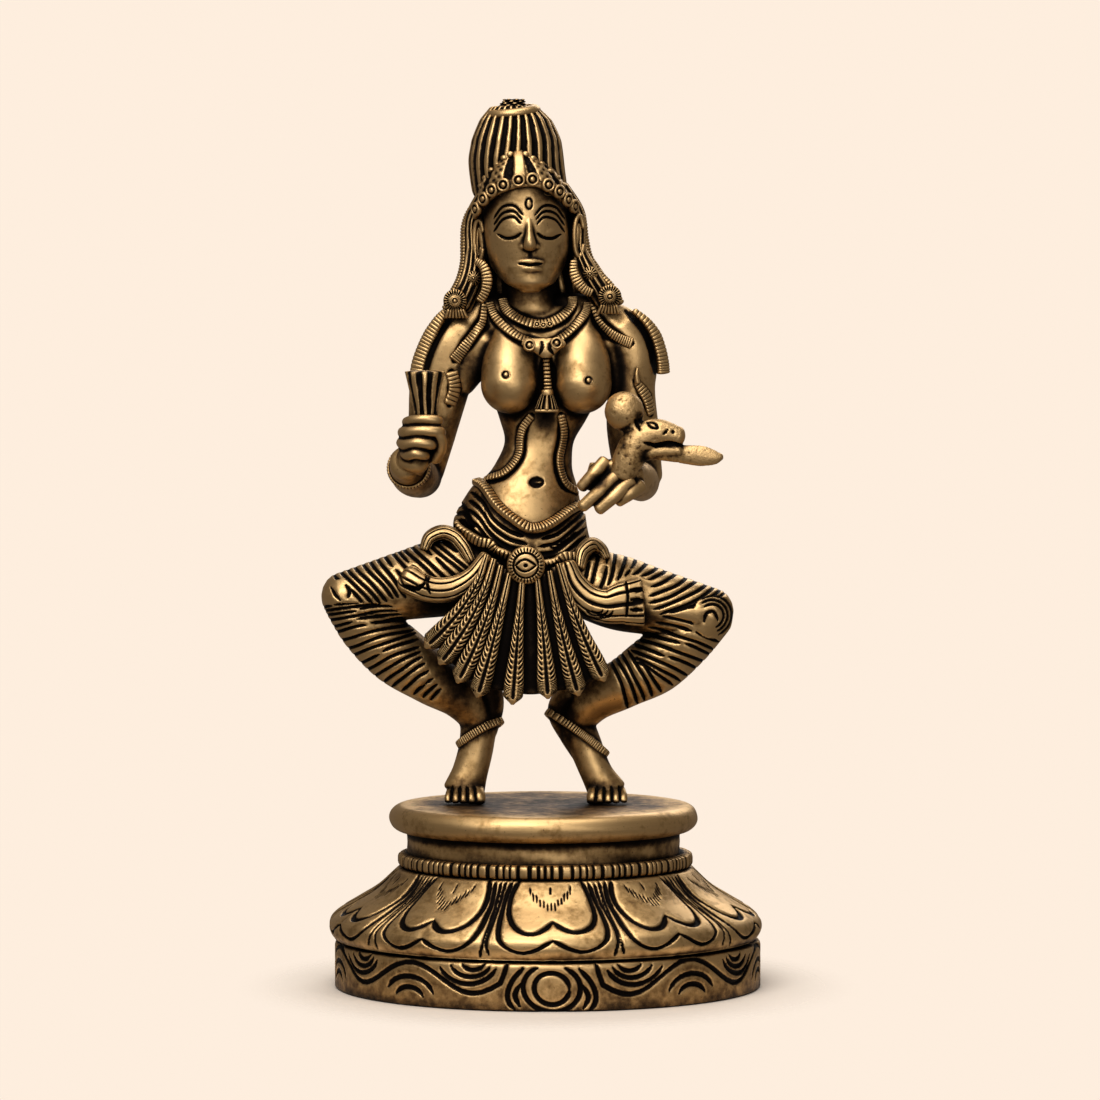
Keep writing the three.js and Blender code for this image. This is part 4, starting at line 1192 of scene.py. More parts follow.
# %% The right leg's lines
right = dict(
    name="right_leg",
    thigh=[
        [-8.0, -0.5, 33.0, 4.7, 5.8], [-13.9, -1.4, 32.4, 5.6, 6.1], [-19.4, -2.4, 31.3, 5.0, 5.6],
        [-28.4, -3.6, 29.5, 3.7, 4.3],
    ],
    calf=[
        [-27.9, -3.6, 29.2, 3.7, 4.2], [-25.3, -2.8, 25.5, 4.1, 4.2], [-21.5, -1.8, 21.7, 4.4, 4.1],
        [-16.3, -0.2, 17.8, 3.8, 3.5], [-12.0, 1.5, 14.9, 3.2, 3.1], [-9.8, 2.6, 11.8, 2.7, 2.7],
        [-9.9, 2.3, 8.2, 2.5, 2.4], [-10.8, 1.5, 4.4, 2.55, 2.1], [-11.7, 0.8, 1.6, 3.0, 2.0],
    ],
    heel=[[-8.3, 2.2, 17.0, 2.0, 2.2], [-8.5, 3.0, 13.6, 2.5, 2.5], [-9.3, 3.0, 10.2, 2.4, 2.3]],
    toes=(-11.7, -1.2, 1),
    upper_folds=[
        [-29.4, 32.4, -25.9, 29.1], [-27.6, 33.2, -23.6, 29.3], [-25.6, 34.1, -21.8, 30.1],
        [-23.6, 34.8, -20.0, 30.3], [-21.6, 35.6, -16.2, 29.8], [-19.8, 36.2, -13.9, 30.7],
        [-18.0, 37.1, -12.3, 32.1], [-16.6, 37.9, -10.8, 33.7], [-14.4, 38.6, -9.9, 34.6],
    ],
    lower_folds=[
        [-31.1, 28.3, -26.6, 29.0], [-30.7, 27.3, -22.7, 28.4], [-30.1, 26.1, -21.6, 27.5],
        [-29.3, 24.7, -20.7, 26.4], [-27.9, 22.8, -19.8, 25.1], [-26.1, 21.1, -19.0, 23.9],
        [-24.3, 19.6, -18.5, 22.3], [-22.3, 18.1, -17.9, 21.0], [-20.3, 17.0, -17.1, 19.4],
        [-18.0, 16.0, -16.0, 17.6], [-16.0, 15.2, -14.9, 16.4],
    ],
    fold_counts=(17, 18),
    seeds=(11, 23),
    knee=(-29.0, 30.6, 1.7),
    knee_marks=[
        bent([(-30.3, 31.2), (-29.6, 30.1), (-28.9, 29.4)], 8),
        bent([(-28.2, 31.6), (-27.6, 30.8), (-27.8, 29.7)], 8),
    ],
    crease=([-32, -26, -22, -18, -12], [28.9, 29.05, 28.8, 28.0, 27.5]),
    # Painted shade under the thigh, along the crease of the knee, on the calf under the pleats, behind the
    # heel, and at the ankle and the foot.
    dark_patches=[
        [-13, 28.2, 5, 2, 0.9], [-12.5, 18, 3, 5, 0.8], [-7.6, 15, 1.6, 5, 0.9],
        [-11.7, 2.5, 2.6, 1.6, 0.5], [-10, 9.5, 2.6, 1.2, 0.4], [-22.5, 29.6, 3, 0.8, 0.6],
    ],
    anklet=((-9.9, 2.3, 9.6), (-0.6, 0.25, 1)),
)

# %% The left leg's lines
left = dict(
    name="left_leg",
    thigh=[
        [3.4, -0.5, 32.2, 4.7, 5.8], [9.9, -1.6, 30.2, 5.3, 6.1], [15.2, -2.6, 28.9, 4.8, 5.5],
        [23.2, -3.6, 27.3, 3.7, 4.3],
    ],
    calf=[
        [22.9, -3.6, 27.0, 3.7, 4.2], [19.6, -2.8, 23.7, 4.2, 4.2], [15.8, -1.8, 20.2, 4.3, 4.1],
        [11.0, -0.2, 17.1, 3.6, 3.5], [6.4, 1.6, 14.4, 3.2, 3.1], [4.4, 2.6, 11.4, 2.8, 2.7],
        [5.7, 2.2, 7.8, 2.4, 2.4], [7.2, 1.4, 4.2, 2.3, 2.1], [8.8, 0.8, 1.4, 2.8, 2.0],
    ],
    heel=[
        [3.6, 2.0, 15.6, 2.0, 2.2], [2.5, 3.0, 13.0, 2.3, 2.4], [4.2, 3.0, 10.0, 2.5, 2.3],
        [5.8, 2.6, 7.4, 2.4, 2.1],
    ],
    toes=(8.9, -1.2, -1),
    upper_folds=[
        [6.3, 36.8, 5.4, 32.5], [8.3, 36.1, 7.2, 31.4], [10.3, 35.6, 9.4, 32.1], [12.6, 35.0, 11.2, 33.0],
        [15.7, 34.3, 13.3, 33.0], [18.0, 33.5, 15.1, 32.1], [20.2, 32.5, 15.1, 30.1],
        [22.0, 31.6, 15.5, 28.7], [23.6, 30.7, 17.1, 27.6], [24.3, 29.8, 19.3, 28.3],
    ],
    lower_folds=[
        [18.0, 26.8, 24.6, 24.6], [16.9, 25.7, 23.6, 23.2], [15.5, 24.6, 22.8, 22.0],
        [14.4, 23.4, 21.9, 20.7], [13.7, 22.3, 20.5, 19.4], [13.5, 21.2, 19.1, 18.4],
        [13.7, 20.1, 17.8, 17.5], [13.3, 20.5, 15.8, 16.4], [11.7, 21.0, 14.4, 15.8],
        [10.6, 20.3, 13.1, 15.0], [9.7, 19.4, 11.5, 14.2],
    ],
    fold_counts=(16, 14),
    seeds=(12, 24),
    knee=(23.6, 27.0, 3.1),
    knee_marks=[arc((23.4, 27.2), (r, r), 130, -70, 20) for r in (1.7, 2.3, 2.9)] + [bent(
        [(22.2, 26.4), (22.6, 27.6), (23.6, 27.8), (24.2, 26.6)], 10,
    )],
    crease=([10, 16, 18, 21, 25], [26.5, 27.2, 27.3, 26.8, 25.5]),
    # Painted shade under the thigh, along the crease of the knee, on the calf under the pleats, behind the
    # heel, and at the ankle and the foot.
    dark_patches=[
        [9.5, 26.4, 5.5, 1.8, 0.9], [5, 18, 3, 3, 0.8], [2.8, 12, 1.8, 5, 0.9], [8.8, 2.2, 2.6, 1.2, 0.4],
        [5.6, 9, 2.2, 1.6, 0.5], [16.4, 26.4, 2, 1.6, 0.7],
    ],
    anklet=((5.2, 2.3, 9.2), (0.75, 0.25, 1)),
)


# %% Foot and toes
TOE_SIZES = (0.52, 0.56, 0.6, 0.68, 0.95)


def foot_and_toes(x, y, inner):
    """inner is +1 when the big toe is on the +X side."""
    toes = []
    for k, size in enumerate(TOE_SIZES):
        across = (k - 2) / 2 * inner
        root, tip = x + across * 1.9, x + across * 2.2
        bend = 0.5 * across * across
        toes.append(limb(
            [
                [root, y + 1.0 + bend, 1.9, size, size], [tip, y - 0.3 + bend, 1.05, size, size],
                [tip, y - 0.8 + bend, 0.35, size, size * 0.8],
            ],
            16, 12,
        ))
    return toes


# %% Skin of a leg
def leg_skin(leg):
    parts = [limb(leg["thigh"], 40, 50, ends=(0.8, 0.9)), limb(leg["calf"], 40, 80, ends=(0.9, 0.4))]
    parts.append(limb(leg["heel"], 28, 24, ends=(0.7, 0.7)))
    skin = melted(parts + foot_and_toes(*leg["toes"]), 0.18, rounds=8)
    points = points_of(skin)
    points[:, 2] = np.maximum(points[:, 2], -0.1)
    move_points(skin, points)
    return skin


# %% Cut the folds of a leg
def cut_leg(skin, leg):
    """Folds above and below the crease of the knee, marks on the knee, and lines between the toes."""
    points, normals = points_of(skin), normals_of(skin)
    u, v = points[:, 0], points[:, 2]
    upper = fold_lines(leg["upper_folds"], leg["fold_counts"][0], leg["seeds"][0])
    lower = fold_lines(leg["lower_folds"], leg["fold_counts"][1], leg["seeds"][1])
    above = v > np.interp(u, *leg["crease"])
    down = np.where(above, groove(u, v, upper, FOLD_CUT), groove(u, v, lower, FOLD_CUT))
    knee_x, knee_z, knee_size = leg["knee"]
    on_knee = np.hypot(u - knee_x, v - knee_z) < knee_size
    down = np.where(on_knee, groove(u, v, leg["knee_marks"], KNEE_CUT), down)
    foot_x = leg["calf"][-1][0]
    toe_lines = [[(foot_x + s * 1.05, 2.5), (foot_x + s * 1.2, 0.2)] for s in (-1.5, -0.5, 0.5, 1.5)]
    down += 0.7 * groove(u, v, toe_lines, TOE_CUT) * (points[:, 1] < 0.6)
    faces_us = np.clip(np.abs(normals[:, 1]) * 2.5, 0.2, 1)
    move_points(skin, points - normals * (down * FOLD_DEPTH * faces_us)[:, None])
    blacken(skin, 0.95 * down)
    # Painted shade from the leg's table, as on the body.
    paint_shade(skin, leg["dark_patches"])
    centre, axis = leg["anklet"]
    from_ring = np.abs((points - centre) @ unit_rows(np.array([axis]))[0])
    blacken(skin, 0.9 * np.clip(2.0 - from_ring / 0.6, 0, 1) * (v < 14))


# %% The two legs
for leg in (right, left):
    skin = leg_skin(leg)
    leg["tree"] = tree_of(skin)
    cut_leg(skin, leg)
    piece(leg["name"], [skin], keep=SKIN_KEEP)

# %% [markdown]
# ## The cloth at the hips
# A thin cloth is knotted round the hips. It is the trunk's own limb once more, a little outside the skin.
# It ends under the upper belt, so above the belt's line it dips below the skin and is hidden. Its
# swags are cut strokes at the front, and plain waves at the back, where no belt crosses them.

# %% Hip cloth
upper_belt = [
    [-9.8, -1.2, 45.6], [-8.7, -4.0, 44.8], [-7.2, -6.0, 42.5], [-4.8, -7.0, 40.5], [-1.7, -7.5, 39.1],
    [1.0, -7.0, 39.9], [3.0, -6.0, 41.3], [5.0, -2.0, 42.4],
]
lower_belt = [
    [-12.5, -3.5, 40.2], [-10.1, -6.2, 38.3], [-7.8, -7.6, 37.1], [-5.4, -8.6, 36.2], [-2.8, -9.0, 34.6],
    [0.2, -8.6, 35.1], [3.0, -7.0, 35.3], [5.4, -4.0, 35.5],
]
hem = np.array([[-14, 46.2]] + [[x, z] for x, _, z in upper_belt] + [[8, 43.0]])
SWAG_CUT = 0.36
swags = []
for k in range(4):
    low = 1.15 * (k + 0.9)
    right_swag = [
        (-10.2 - 0.3 * k, 45.4 - low), (-8.9 - 0.2 * k, 44.2 - low), (-7.4 - 0.1 * k, 41.9 - low),
        (-5.2, 40.2 - low), (-3.2 + 0.5 * k, 39.3 - low * 0.92),
    ]
    left_swag = [
        (5.2, 42.6 - low), (3.3, 41.0 - low), (1.4, 39.6 - low), (-0.6 - 0.4 * k, 39.0 - low * 0.95),
    ]
    side_swag = [
        (-12.6 + 0.2 * k, 42.0 - 0.95 * k), (-11.7 + 0.1 * k, 42.6 - 1.1 * k),
        (-10.8 + 0.1 * k, 41.2 - 1.1 * k), (-10.0, 39.6 - 0.9 * k),
    ]
    swags += [bent(right_swag, 20), bent(left_swag, 16), bent(side_swag, 12)]
for k in range(3):
    tuck = [
        (2.2 + 0.9 * k, 37.4 + 0.7 * k), (1.4 + 0.8 * k, 36.6 + 0.5 * k), (0.6 + 0.7 * k, 36.9 + 0.3 * k),
    ]
    swags.append(bent(tuck, 8))


def hip_folds(along, angle, point):
    above = np.clip((point[:, 2] - np.interp(point[:, 0], *hem.T) + 0.1) / 0.5, 0, 1)
    behind = point[:, 1] > 0
    folds = 0.4 * groove(point[:, 0], point[:, 2], swags, SWAG_CUT) * ~behind
    at_back = 0.3 * np.abs(np.sin(2.2 * point[:, 2] - 0.05 * point[:, 0] ** 2)) ** 3 * behind
    return 0.46 - 1.1 * above - (folds + at_back) * (1 - above)


hips = limb(trunk[:7], 280, 140, level=True, ends=(0.1, 0.1), relief=hip_folds)
hip_tree = tree_of(hips)
trench(hips, lower_belt, 1.1, 0.3)
skin = points_of(hips)
blacken(hips, 1.3 * groove(skin[:, 0], skin[:, 2], swags, SWAG_CUT) * (skin[:, 1] < 0))
trench(hips, upper_belt, 1.4, 0.15)
# Painted shade on the skin under the hem of the hip cloth.
skin = points_of(body)
under_hem = np.clip((np.interp(skin[:, 0], *hem.T) - skin[:, 2]) * 2 + 0.6, 0, 1)
blacken(body, under_hem * (np.abs(skin[:, 0] + 2.5) < 10))
trench(body, upper_belt, 1.3, 0.25)
piece("hip_cloth", [hips], extra_dark=0.2, keep=BODY_KEEP)
piece("body", [body], keep=BODY_KEEP)

# %% [markdown]
# ## Belts and medallion
# Two ticked belts lie on the hip cloth, laid on it as the straps are laid on the skin. A round medal
# joins the lower one in the middle: a flat ball, with its rays and its leaf-shaped mark cut from the front.

# %% Belts
belts = [
    strap(upper_belt, 0.72, 0.5, tree=hip_tree, spacing=0.5, depth=0.3, lift=0.5),
    strap(lower_belt, 0.72, 0.5, tree=hip_tree, spacing=0.62, depth=0.3, lift=0.7),
]

# %% Medallion
hub = np.array([-2.8, -8.7, 34.4])
medal = ball(hub, (2.7, 1.05, 2.7), 180)


def ring_line(radius):
    return arc((hub[0], hub[2]), (radius, radius), 0, 360, 28)


def rays(centre, inner, outer, count):
    """Short strokes like the spokes of a wheel."""
    turn = np.linspace(0, 2 * math.pi, count, endpoint=False)
    ways = np.column_stack([np.cos(turn), np.sin(turn)])
    return [[centre + way * inner, centre + way * outer] for way in ways]


eye = [bent(hub[[0, 2]] + [(-1.5, 0), (-0.7, s * 0.68), (0.1, s * 0.82), (1.5, 0)], 14) for s in (-1, 1)]
cut_front(medal, rays(hub[[0, 2]], 1.95, 2.5, 30), 0.15, 0.22)
cut_front(medal, [ring_line(1.78)], 0.2, 0.3)
cut_front(medal, eye, 0.2, 0.3)
cut_front(medal, [ring_line(0.12)], 0.4, 0.35)
belts.append(medal)
piece("belts", belts)

# %% [markdown]
# ## The fan of pleats
# Eight pleats hang from the belt. Each has a deep line down its middle and herringbone nicks on both
# sides of it, and ends in a point. A real pleat is a fold, but only its outside shows, so a tapered
# limb with a relief is enough. A plain near-black strip closes each gap behind them: partly the dark
# cloth there, partly painted shade of the thighs and calves behind.

# %% Pleats
pleat_tops = [
    [-8.3, -8.0, 35.8], [-7.3, -8.2, 35.2], [-6.3, -8.3, 34.3], [-5.1, -8.4, 33.2], [-3.3, -8.5, 32.6],
    [-1.2, -8.4, 32.6], [0.5, -8.2, 33.5], [1.8, -8.0, 34.5],
]
pleat_ends = [
    [-16.9, -8.6, 22.9], [-14.9, -9.0, 20.6], [-12.4, -9.3, 18.0], [-9.6, -9.6, 16.0], [-4.7, -9.7, 15.0],
    [0.3, -9.5, 15.8], [4.6, -9.2, 16.2], [8.2, -8.8, 18.2],
]
pleat_bows = [1.5, 1.1, 0.7, 0.2, 0.0, 0.1, -0.3, -0.5]
NICK_PITCH = 0.56


def herringbone(length):
    """A line down the middle, and slanting nicks from beside it to the edges."""
    count = round(length / NICK_PITCH)

    def relief(along, angle, point):
        spread = np.abs(angle)
        middle = np.clip(1.5 - spread / 0.1, 0, 1) * np.clip((0.9 - along) * 14, 0, 1)
        slope = (along * count + spread * 1.3) % 1
        nicks = np.clip(1.6 - np.minimum(slope, 1 - slope) * 5, 0, 1) * np.clip((spread - 0.26) / 0.1, 0, 1)
        nicks = nicks * np.clip((2.1 - spread) / 0.3, 0, 1) * np.clip((0.93 - along) * 14, 0, 1)
        clear = np.clip((along - 0.12) * 8, 0, 1)
        return -(0.5 * middle + 0.36 * nicks * clear)

    return relief


# %% Fan
PLEAT_SECTIONS = (
    (0, 0.42, 0.5), (0.3, 0.62, 0.65), (0.6, 1.02, 0.75), (0.85, 1.4, 0.8), (0.93, 1.42, 0.8),
    (1.0, 0.3, 0.5),
)
pleats = []
for top, end, bow in zip(pleat_tops, pleat_ends, pleat_bows):
    top, end = np.array(top), np.array(end)
    length = np.linalg.norm(end - top)
    stations = []
    for share, half_width, half_depth in PLEAT_SECTIONS:
        arch = 4 * share * (1 - share)
        spot = top + (end - top) * share + np.array([bow, -0.5, 0]) * arch
        stations.append([*spot, half_width, half_depth])
    pleats.append(limb(stations, 40, 150, caps=4, ends=(0.3, 0.5), relief=herringbone(length), square=0.75))
piece("pleats", pleats, extra_dark=0.12)

# %% Strips behind the pleats: dark cloth and painted shade
backing_and_shade = []
for k in range(len(pleat_tops) - 1):
    top = (np.array(pleat_tops[k]) + pleat_tops[k + 1]) / 2 + (0, 0.7, 0)
    end = (np.array(pleat_ends[k]) + pleat_ends[k + 1]) / 2 + (0, 1.3, 0)
    bow = (pleat_bows[k] + pleat_bows[k + 1]) / 2
    short = 0.9 if k < 4 else 0.93
    stations = [
        [*top, 0.6, 0.6], [*((top + end) / 2 + (bow, -0.3, 0)), 1.3, 0.7],
        [*(top + (end - top) * short), 2.1, 0.7],
    ]
    backing_and_shade.append(limb(stations, 20, 24, ends=(0.3, 0.6)))
# Near black all over: dark cloth behind the pleats, and painted shade of the legs behind them.
piece("pleat_backing_and_shade", backing_and_shade, extra_dark=1.2)

# %% [markdown]
# ## Rolls and sashes
# The ends of the hip cloth are rolled up over both hips, and two sashes lie over the thighs. They are thick
# soft ropes of cloth, so each is a limb with a few fine seams along it, and the ends are cut as they
# are on the real one: a rosette on the right sash, three slots on the left one.

# %% Rolls
right_roll = [
    [-17.1, -4.2, 36.3, 0.8, 1.2], [-16.3, -3.8, 38.0, 1.05, 1.4], [-14.6, -3.6, 38.7, 1.15, 1.5],
    [-13.0, -4.0, 38.2, 1.15, 1.5], [-11.7, -4.8, 36.9, 1.15, 1.4], [-10.4, -5.8, 34.6, 0.9, 1.2],
]
left_roll = [
    [4.7, -6.2, 33.8, 0.8, 1.1], [5.2, -5.0, 36.0, 1.1, 1.4], [6.5, -3.8, 36.9, 1.2, 1.5],
    [7.8, -3.4, 36.2, 1.0, 1.3], [8.6, -4.0, 35.0, 0.6, 1.0],
]


def seams(count, depth):
    def relief(along, angle, point):
        wave = np.cos(count * (angle + 0.4 * np.sin(4.2 * along) / count) + 0.5 * np.sin(9 * along))
        return -depth * np.clip(wave * 2.2 - 1.2, 0, 1)

    return relief


rolls = [limb(s, 120, 90, relief=seams(10, 0.3)) for s in (right_roll, left_roll)]
piece("rolls", rolls, extra_dark=0.2)

# %% Sashes over the thighs
right_sash = [
    [-8.3, -7.2, 35.4, 1.1, 1.2], [-10.4, -7.6, 32.6, 1.4, 1.2], [-13.0, -7.9, 31.1, 1.7, 1.2],
    [-15.7, -8.1, 30.9, 1.8, 1.3], [-17.8, -7.9, 31.5, 1.9, 1.6], [-19.3, -7.4, 32.3, 2.1, 1.7],
]
left_sash = [
    [2.8, -7.2, 34.3, 1.4, 1.2], [3.9, -7.5, 31.6, 1.9, 1.2], [6.0, -7.8, 29.4, 2.2, 1.3],
    [8.4, -8.1, 28.6, 2.4, 1.4], [10.8, -8.0, 29.0, 3.0, 1.5], [13.4, -7.6, 29.2, 3.5, 1.4],
]
right_cloth = limb(right_sash, 110, 130, ends=(0.5, 0.8), relief=seams(10, 0.3))
left_cloth = limb(left_sash, 110, 130, ends=(0.5, 0.25), relief=seams(12, 0.3), square=0.85)
cut_front(
    right_cloth,
    [arc((-18.6, 32.8), (1.9, 1.7), 150, 420, 18), bent([(-16.2, 33.4), (-16.6, 31.9), (-16.2, 30.4)], 8)],
    0.26, 0.3,
)
cut_front(right_cloth, [bent([(-19.6, 31.6), (-18.2, 31.1), (-17.2, 31.7)], 8)], 0.5, 0.6)
slots = [[(11.9, z), (13.6, z - 0.1)] for z in (28.2, 29.6, 31.0)]
waves = [arc((7.2, 28.2), (r, r * 0.6), 190, 350, 14) for r in (0.8, 1.5, 2.2)]
cut_front(left_cloth, slots, 0.42, 0.55)
cut_front(left_cloth, waves + [bent([(11.2, 32.2), (11.5, 30.0), (11.3, 27.2)], 10)], 0.24, 0.3)
piece("sashes", [right_cloth, left_cloth])

# %% [markdown]
# ## Hands and what they hold
# The right hand grips a short flared sheaf: four fingers are bent round it, and the thumb lies across.
# The left hand carries a small beaked animal with a ball behind its head and a flat blade in its mouth.
# Hands are melted from limbs as the body is, with a finer grain. The sheaf and the animal were left as
# cast, so they get the grainy finish.

# %% Right hand and sheaf
palm = [[-18.6, -11.4, 48.8, 2.2, 1.9], [-17.9, -11.8, 51.4, 2.5, 1.7], [-17.3, -11.8, 54.2, 2.4, 1.5]]
wrist = [[-19.2, -8.6, 48.3, 2.5, 2.5], [-18.9, -11.2, 49.2, 2.2, 2.1]]
thumb = [
    [-15.6, -11.2, 49.6, 1.1, 1.1], [-14.7, -12.8, 51.0, 0.95, 0.95], [-14.6, -13.9, 52.3, 0.8, 0.8],
    [-15.2, -14.5, 53.2, 0.6, 0.6],
]


def bent_finger(z, low, start, end, size):
    """A finger at height z that goes round the sheaf from x = start to x = end."""
    middle = (start + end) / 2
    return limb([
        [start, -11.6, z - low, size, size],
        [start + 0.6, -13.5, z - 0.1, size, size],
        [middle, -14.5, z + 0.15, size * 0.95, size],
        [end - 0.5, -14.2, z, size, size],
        [end, -12.9, z - 0.2, size * 0.8, size * 0.8],
    ], 18, 40, face=UP)


right_hand = [limb(palm, 32, 24, ends=(0.7, 0.5)), limb(wrist, 28, 14, face=UP)]
for finger in (
    (54.9, 0.35, -19.4, -14.7, 0.72),
    (53.3, 0.2, -19.9, -14.5, 0.84),
    (51.6, -0.1, -20.1, -15.6, 0.82),
    (50.1, -0.3, -19.8, -16.6, 0.72),
):
    right_hand.append(bent_finger(*finger))
right_hand.append(limb(thumb, 18, 26))
HAND_GRAIN = 0.15
piece("right_hand", [melted(right_hand, HAND_GRAIN, rounds=3)])
sheaf = [
    [-16.7, -13.2, 54.4, 1.6, 1.6], [-16.7, -13.2, 56.2, 1.7, 1.7], [-16.8, -13.3, 58.6, 2.1, 1.9],
    [-16.8, -13.4, 61.6, 2.8, 2.3],
]
sheaf = limb(sheaf, 140, 40, caps=6, ends=(0.1, 0.08), relief=ribs(9, 0.45))
piece("sheaf", [sheaf], finish=rough_brass)

# %% Left hand
fingers = [
    [[8.3, -12.4, 49.0], [5.0, -13.2, 45.6]],
    [[10.2, -12.9, 47.4], [5.1, -14.0, 42.9]],
    [[11.8, -13.0, 46.4], [7.4, -14.1, 42.5]],
    [[13.2, -12.5, 45.8], [10.1, -13.4, 43.6]],
]
palm = [[10.0, -12.2, 49.0, 2.4, 1.4], [10.4, -12.0, 46.9, 3.4, 1.6], [10.4, -12.0, 45.0, 2.8, 1.3]]
wrist = [[11.4, -8.8, 47.2, 2.2, 2.2], [10.3, -11.6, 47.4, 2.1, 1.9]]
web = [[7.6, -12.0, 48.4, 1.6, 0.7], [6.6, -12.4, 45.2, 1.6, 0.7]]
left_hand = [limb(palm, 32, 20), limb(wrist, 28, 14, face=UP), limb(web, 24, 14)]
for root, tip in np.array(fingers):
    knuckle = (root + tip) / 2 - (0, 0.5, 0)
    left_hand.append(limb(
        [[*root, 1.1, 1.0], [*knuckle, 1.02, 0.95], [*tip, 0.85, 0.8]], 18, 24, ends=(0.5, 0.7),
    ))
left_hand = melted(left_hand, HAND_GRAIN, rounds=3)
# Painted shade in the hollow of the hand, by the web.
paint_shade(left_hand, [[7.4, 46.4, 1.5, 1.5, 1]])
piece("left_hand", [left_hand])

# %% Animal
beast = [
    [10.6, -12.5, 47.2, 2.0, 1.8],
    [11.5, -12.8, 49.4, 2.2, 1.9],
    [12.9, -12.8, 51.8, 2.3, 2.0],
    [15.4, -12.9, 53.1, 2.0, 2.0],
    [18.4, -13.2, 52.6, 1.45, 1.5],
]
jaw = [[12.8, -12.8, 50.2, 1.3, 1.4], [16.0, -13.0, 50.6, 1.0, 1.2], [18.6, -13.2, 50.6, 0.8, 1.0]]
blade = [
    [14.6, -12.8, 50.4, 1.0, 1.1], [17.9, -13.0, 50.2, 1.2, 0.9], [21.5, -13.2, 49.9, 1.45, 0.75],
    [23.6, -13.3, 49.7, 1.0, 0.6], [24.5, -13.3, 49.8, 0.45, 0.4],
]
neck = [[11.6, -12.4, 54.8, 1.5, 1.5], [13.0, -12.5, 52.4, 1.7, 1.7]]
animal = [limb(beast, 32, 40, ends=(0.5, 0.7)), limb(jaw, 24, 24), limb(blade, 28, 40), limb(neck, 24, 10)]
animal.append(ball((10.9, -12.4, 56.1), (2.75, 2.3, 2.75)))
animal = melted(animal, 0.17, rounds=2)

# %% Pits, painted shade and cuts of the animal
skin = [Vector(p) for p in points_of(animal)]
pits = np.array([noise.noise(p * 1.5) + 0.6 * noise.noise(p * 3.6) for p in skin])
pits = np.clip(1.5 * pits - 0.2, 0, 1)
move_points(animal, points_of(animal) - normals_of(animal) * (0.06 * pits)[:, None])
blacken(animal, 0.12 * pits)
# Painted shade under the ball, under the jaw and where the neck meets the ball.
paint_shade(animal, [[10.9, 51.6, 0.8, 1.6, 0.55], [13.8, 49.4, 1.4, 0.9, 0.6], [12.7, 55.2, 0.8, 0.9, 0.9]])
mouth = bent([(13.7, 51.8), (15.2, 51.4), (17.0, 51.7), (18.9, 51.4)])
lid = bent([(14.0, 54.7), (14.5, 54.0), (15.5, 53.8), (15.1, 54.5), (14.0, 54.7)])
nostril = arc((17.7, 53.3), (0.14, 0.14), 0, 360, 8)
wrinkles = [bent([(13.0, 53.5), (12.4, 54.9)], 6), bent([(16.3, 52.9), (16.9, 53.6)], 6)]
for strokes, half_width, depth in (
    ([mouth], 0.36, 0.55), ([lid], 0.24, 0.35), ([nostril], 0.24, 0.35), (wrinkles, 0.3, 0.4),
):
    cut_front(animal, strokes, half_width, depth, behind=-12)
piece("animal", [animal], finish=rough_brass)

# %% [markdown]
# ## Diadem, ears and earrings
# The diadem is a fluted fan over the forehead with a bar up its middle and small balls along its upper
# edge. A row of ringed beads closes it along the hairline. Beads are spun once from a profile and then
# turned to face out of the head. Hoops, crescents and little flowers hang at both sides of the jaw.

# %% Diadem
cap = [
    [-3.2, -0.7, 86.2, 6.4, 6.3], [-3.4, -0.8, 88.0, 5.9, 6.0], [-3.6, -0.8, 90.0, 4.7, 5.2],
    [-3.8, -0.9, 91.5, 3.1, 3.9], [-3.9, -1.1, 92.4, 1.3, 2.2],
]


def fan(along, angle, point):
    flute = np.clip(-0.5 - 2.2 * np.cos(9 * angle), 0, 1) * np.clip((0.9 - along) * 8, 0, 1)
    return -0.45 * flute + 0.08 * np.sin(23 * angle) * np.sin(50 * along)


crown = [limb(cap, 204, 50, level=True, ends=(0.1, 0.4), relief=fan)]
arch = [
    [-9.0, -1.6, 87.6], [-8.4, -2.2, 88.7], [-7.6, -2.8, 89.8], [-6.8, -3.2, 90.6], [-5.8, -3.6, 91.4],
    [-5.0, -3.8, 91.9], [-2.9, -3.8, 91.9], [-1.9, -3.6, 91.3], [-0.7, -3.2, 90.6], [0.5, -2.8, 89.6],
    [1.5, -2.2, 88.7], [2.2, -1.6, 87.7],
]
crown += [ball((x, y, z), (0.62, 0.6, 0.45 + 0.1 * (z > 91)), 20) for x, y, z in arch]
middle_line = [[-3.6, -7.6, 88.4], [-3.7, -6.4, 90.2], [-3.9, -4.2, 92.2]]
middle_taper = ([0, 0.5, 1], [1.0, 0.8, 0.7])
crown.append(bar(*lay(middle_line, tree_of(crown[0]), 20, 0.05), 0.95, 0.4, depth=0, taper=middle_taper))
edge = [
    [-9.9, -2.0, 83.2], [-9.2, -3.7, 84.5], [-8.0, -5.2, 85.7], [-6.3, -6.5, 86.8], [-3.8, -7.3, 87.6],
    [-1.4, -7.2, 87.7], [0.5, -6.4, 86.9], [2.0, -5.1, 85.8], [3.2, -3.5, 84.8], [4.0, -1.8, 83.9],
]
edge_line = smooth_line(edge, 40)
edge_out = unit_rows((edge_line - (-3.2, 0.5, 85.0)) * (1, 1, 0.3))
crown.append(bar(edge_line, edge_out, 0.4, 0.45, depth=0))
beads = [
    [-9.75, -4.1, 84.3], [-8.7, -5.4, 85.7], [-7.5, -6.4, 86.9], [-5.9, -7.3, 87.6], [-3.8, -7.9, 88.25],
    [-1.9, -7.8, 88.35], [0.3, -7.2, 87.6], [1.8, -6.2, 86.7], [3.0, -4.9, 85.6], [3.9, -3.4, 84.7],
]
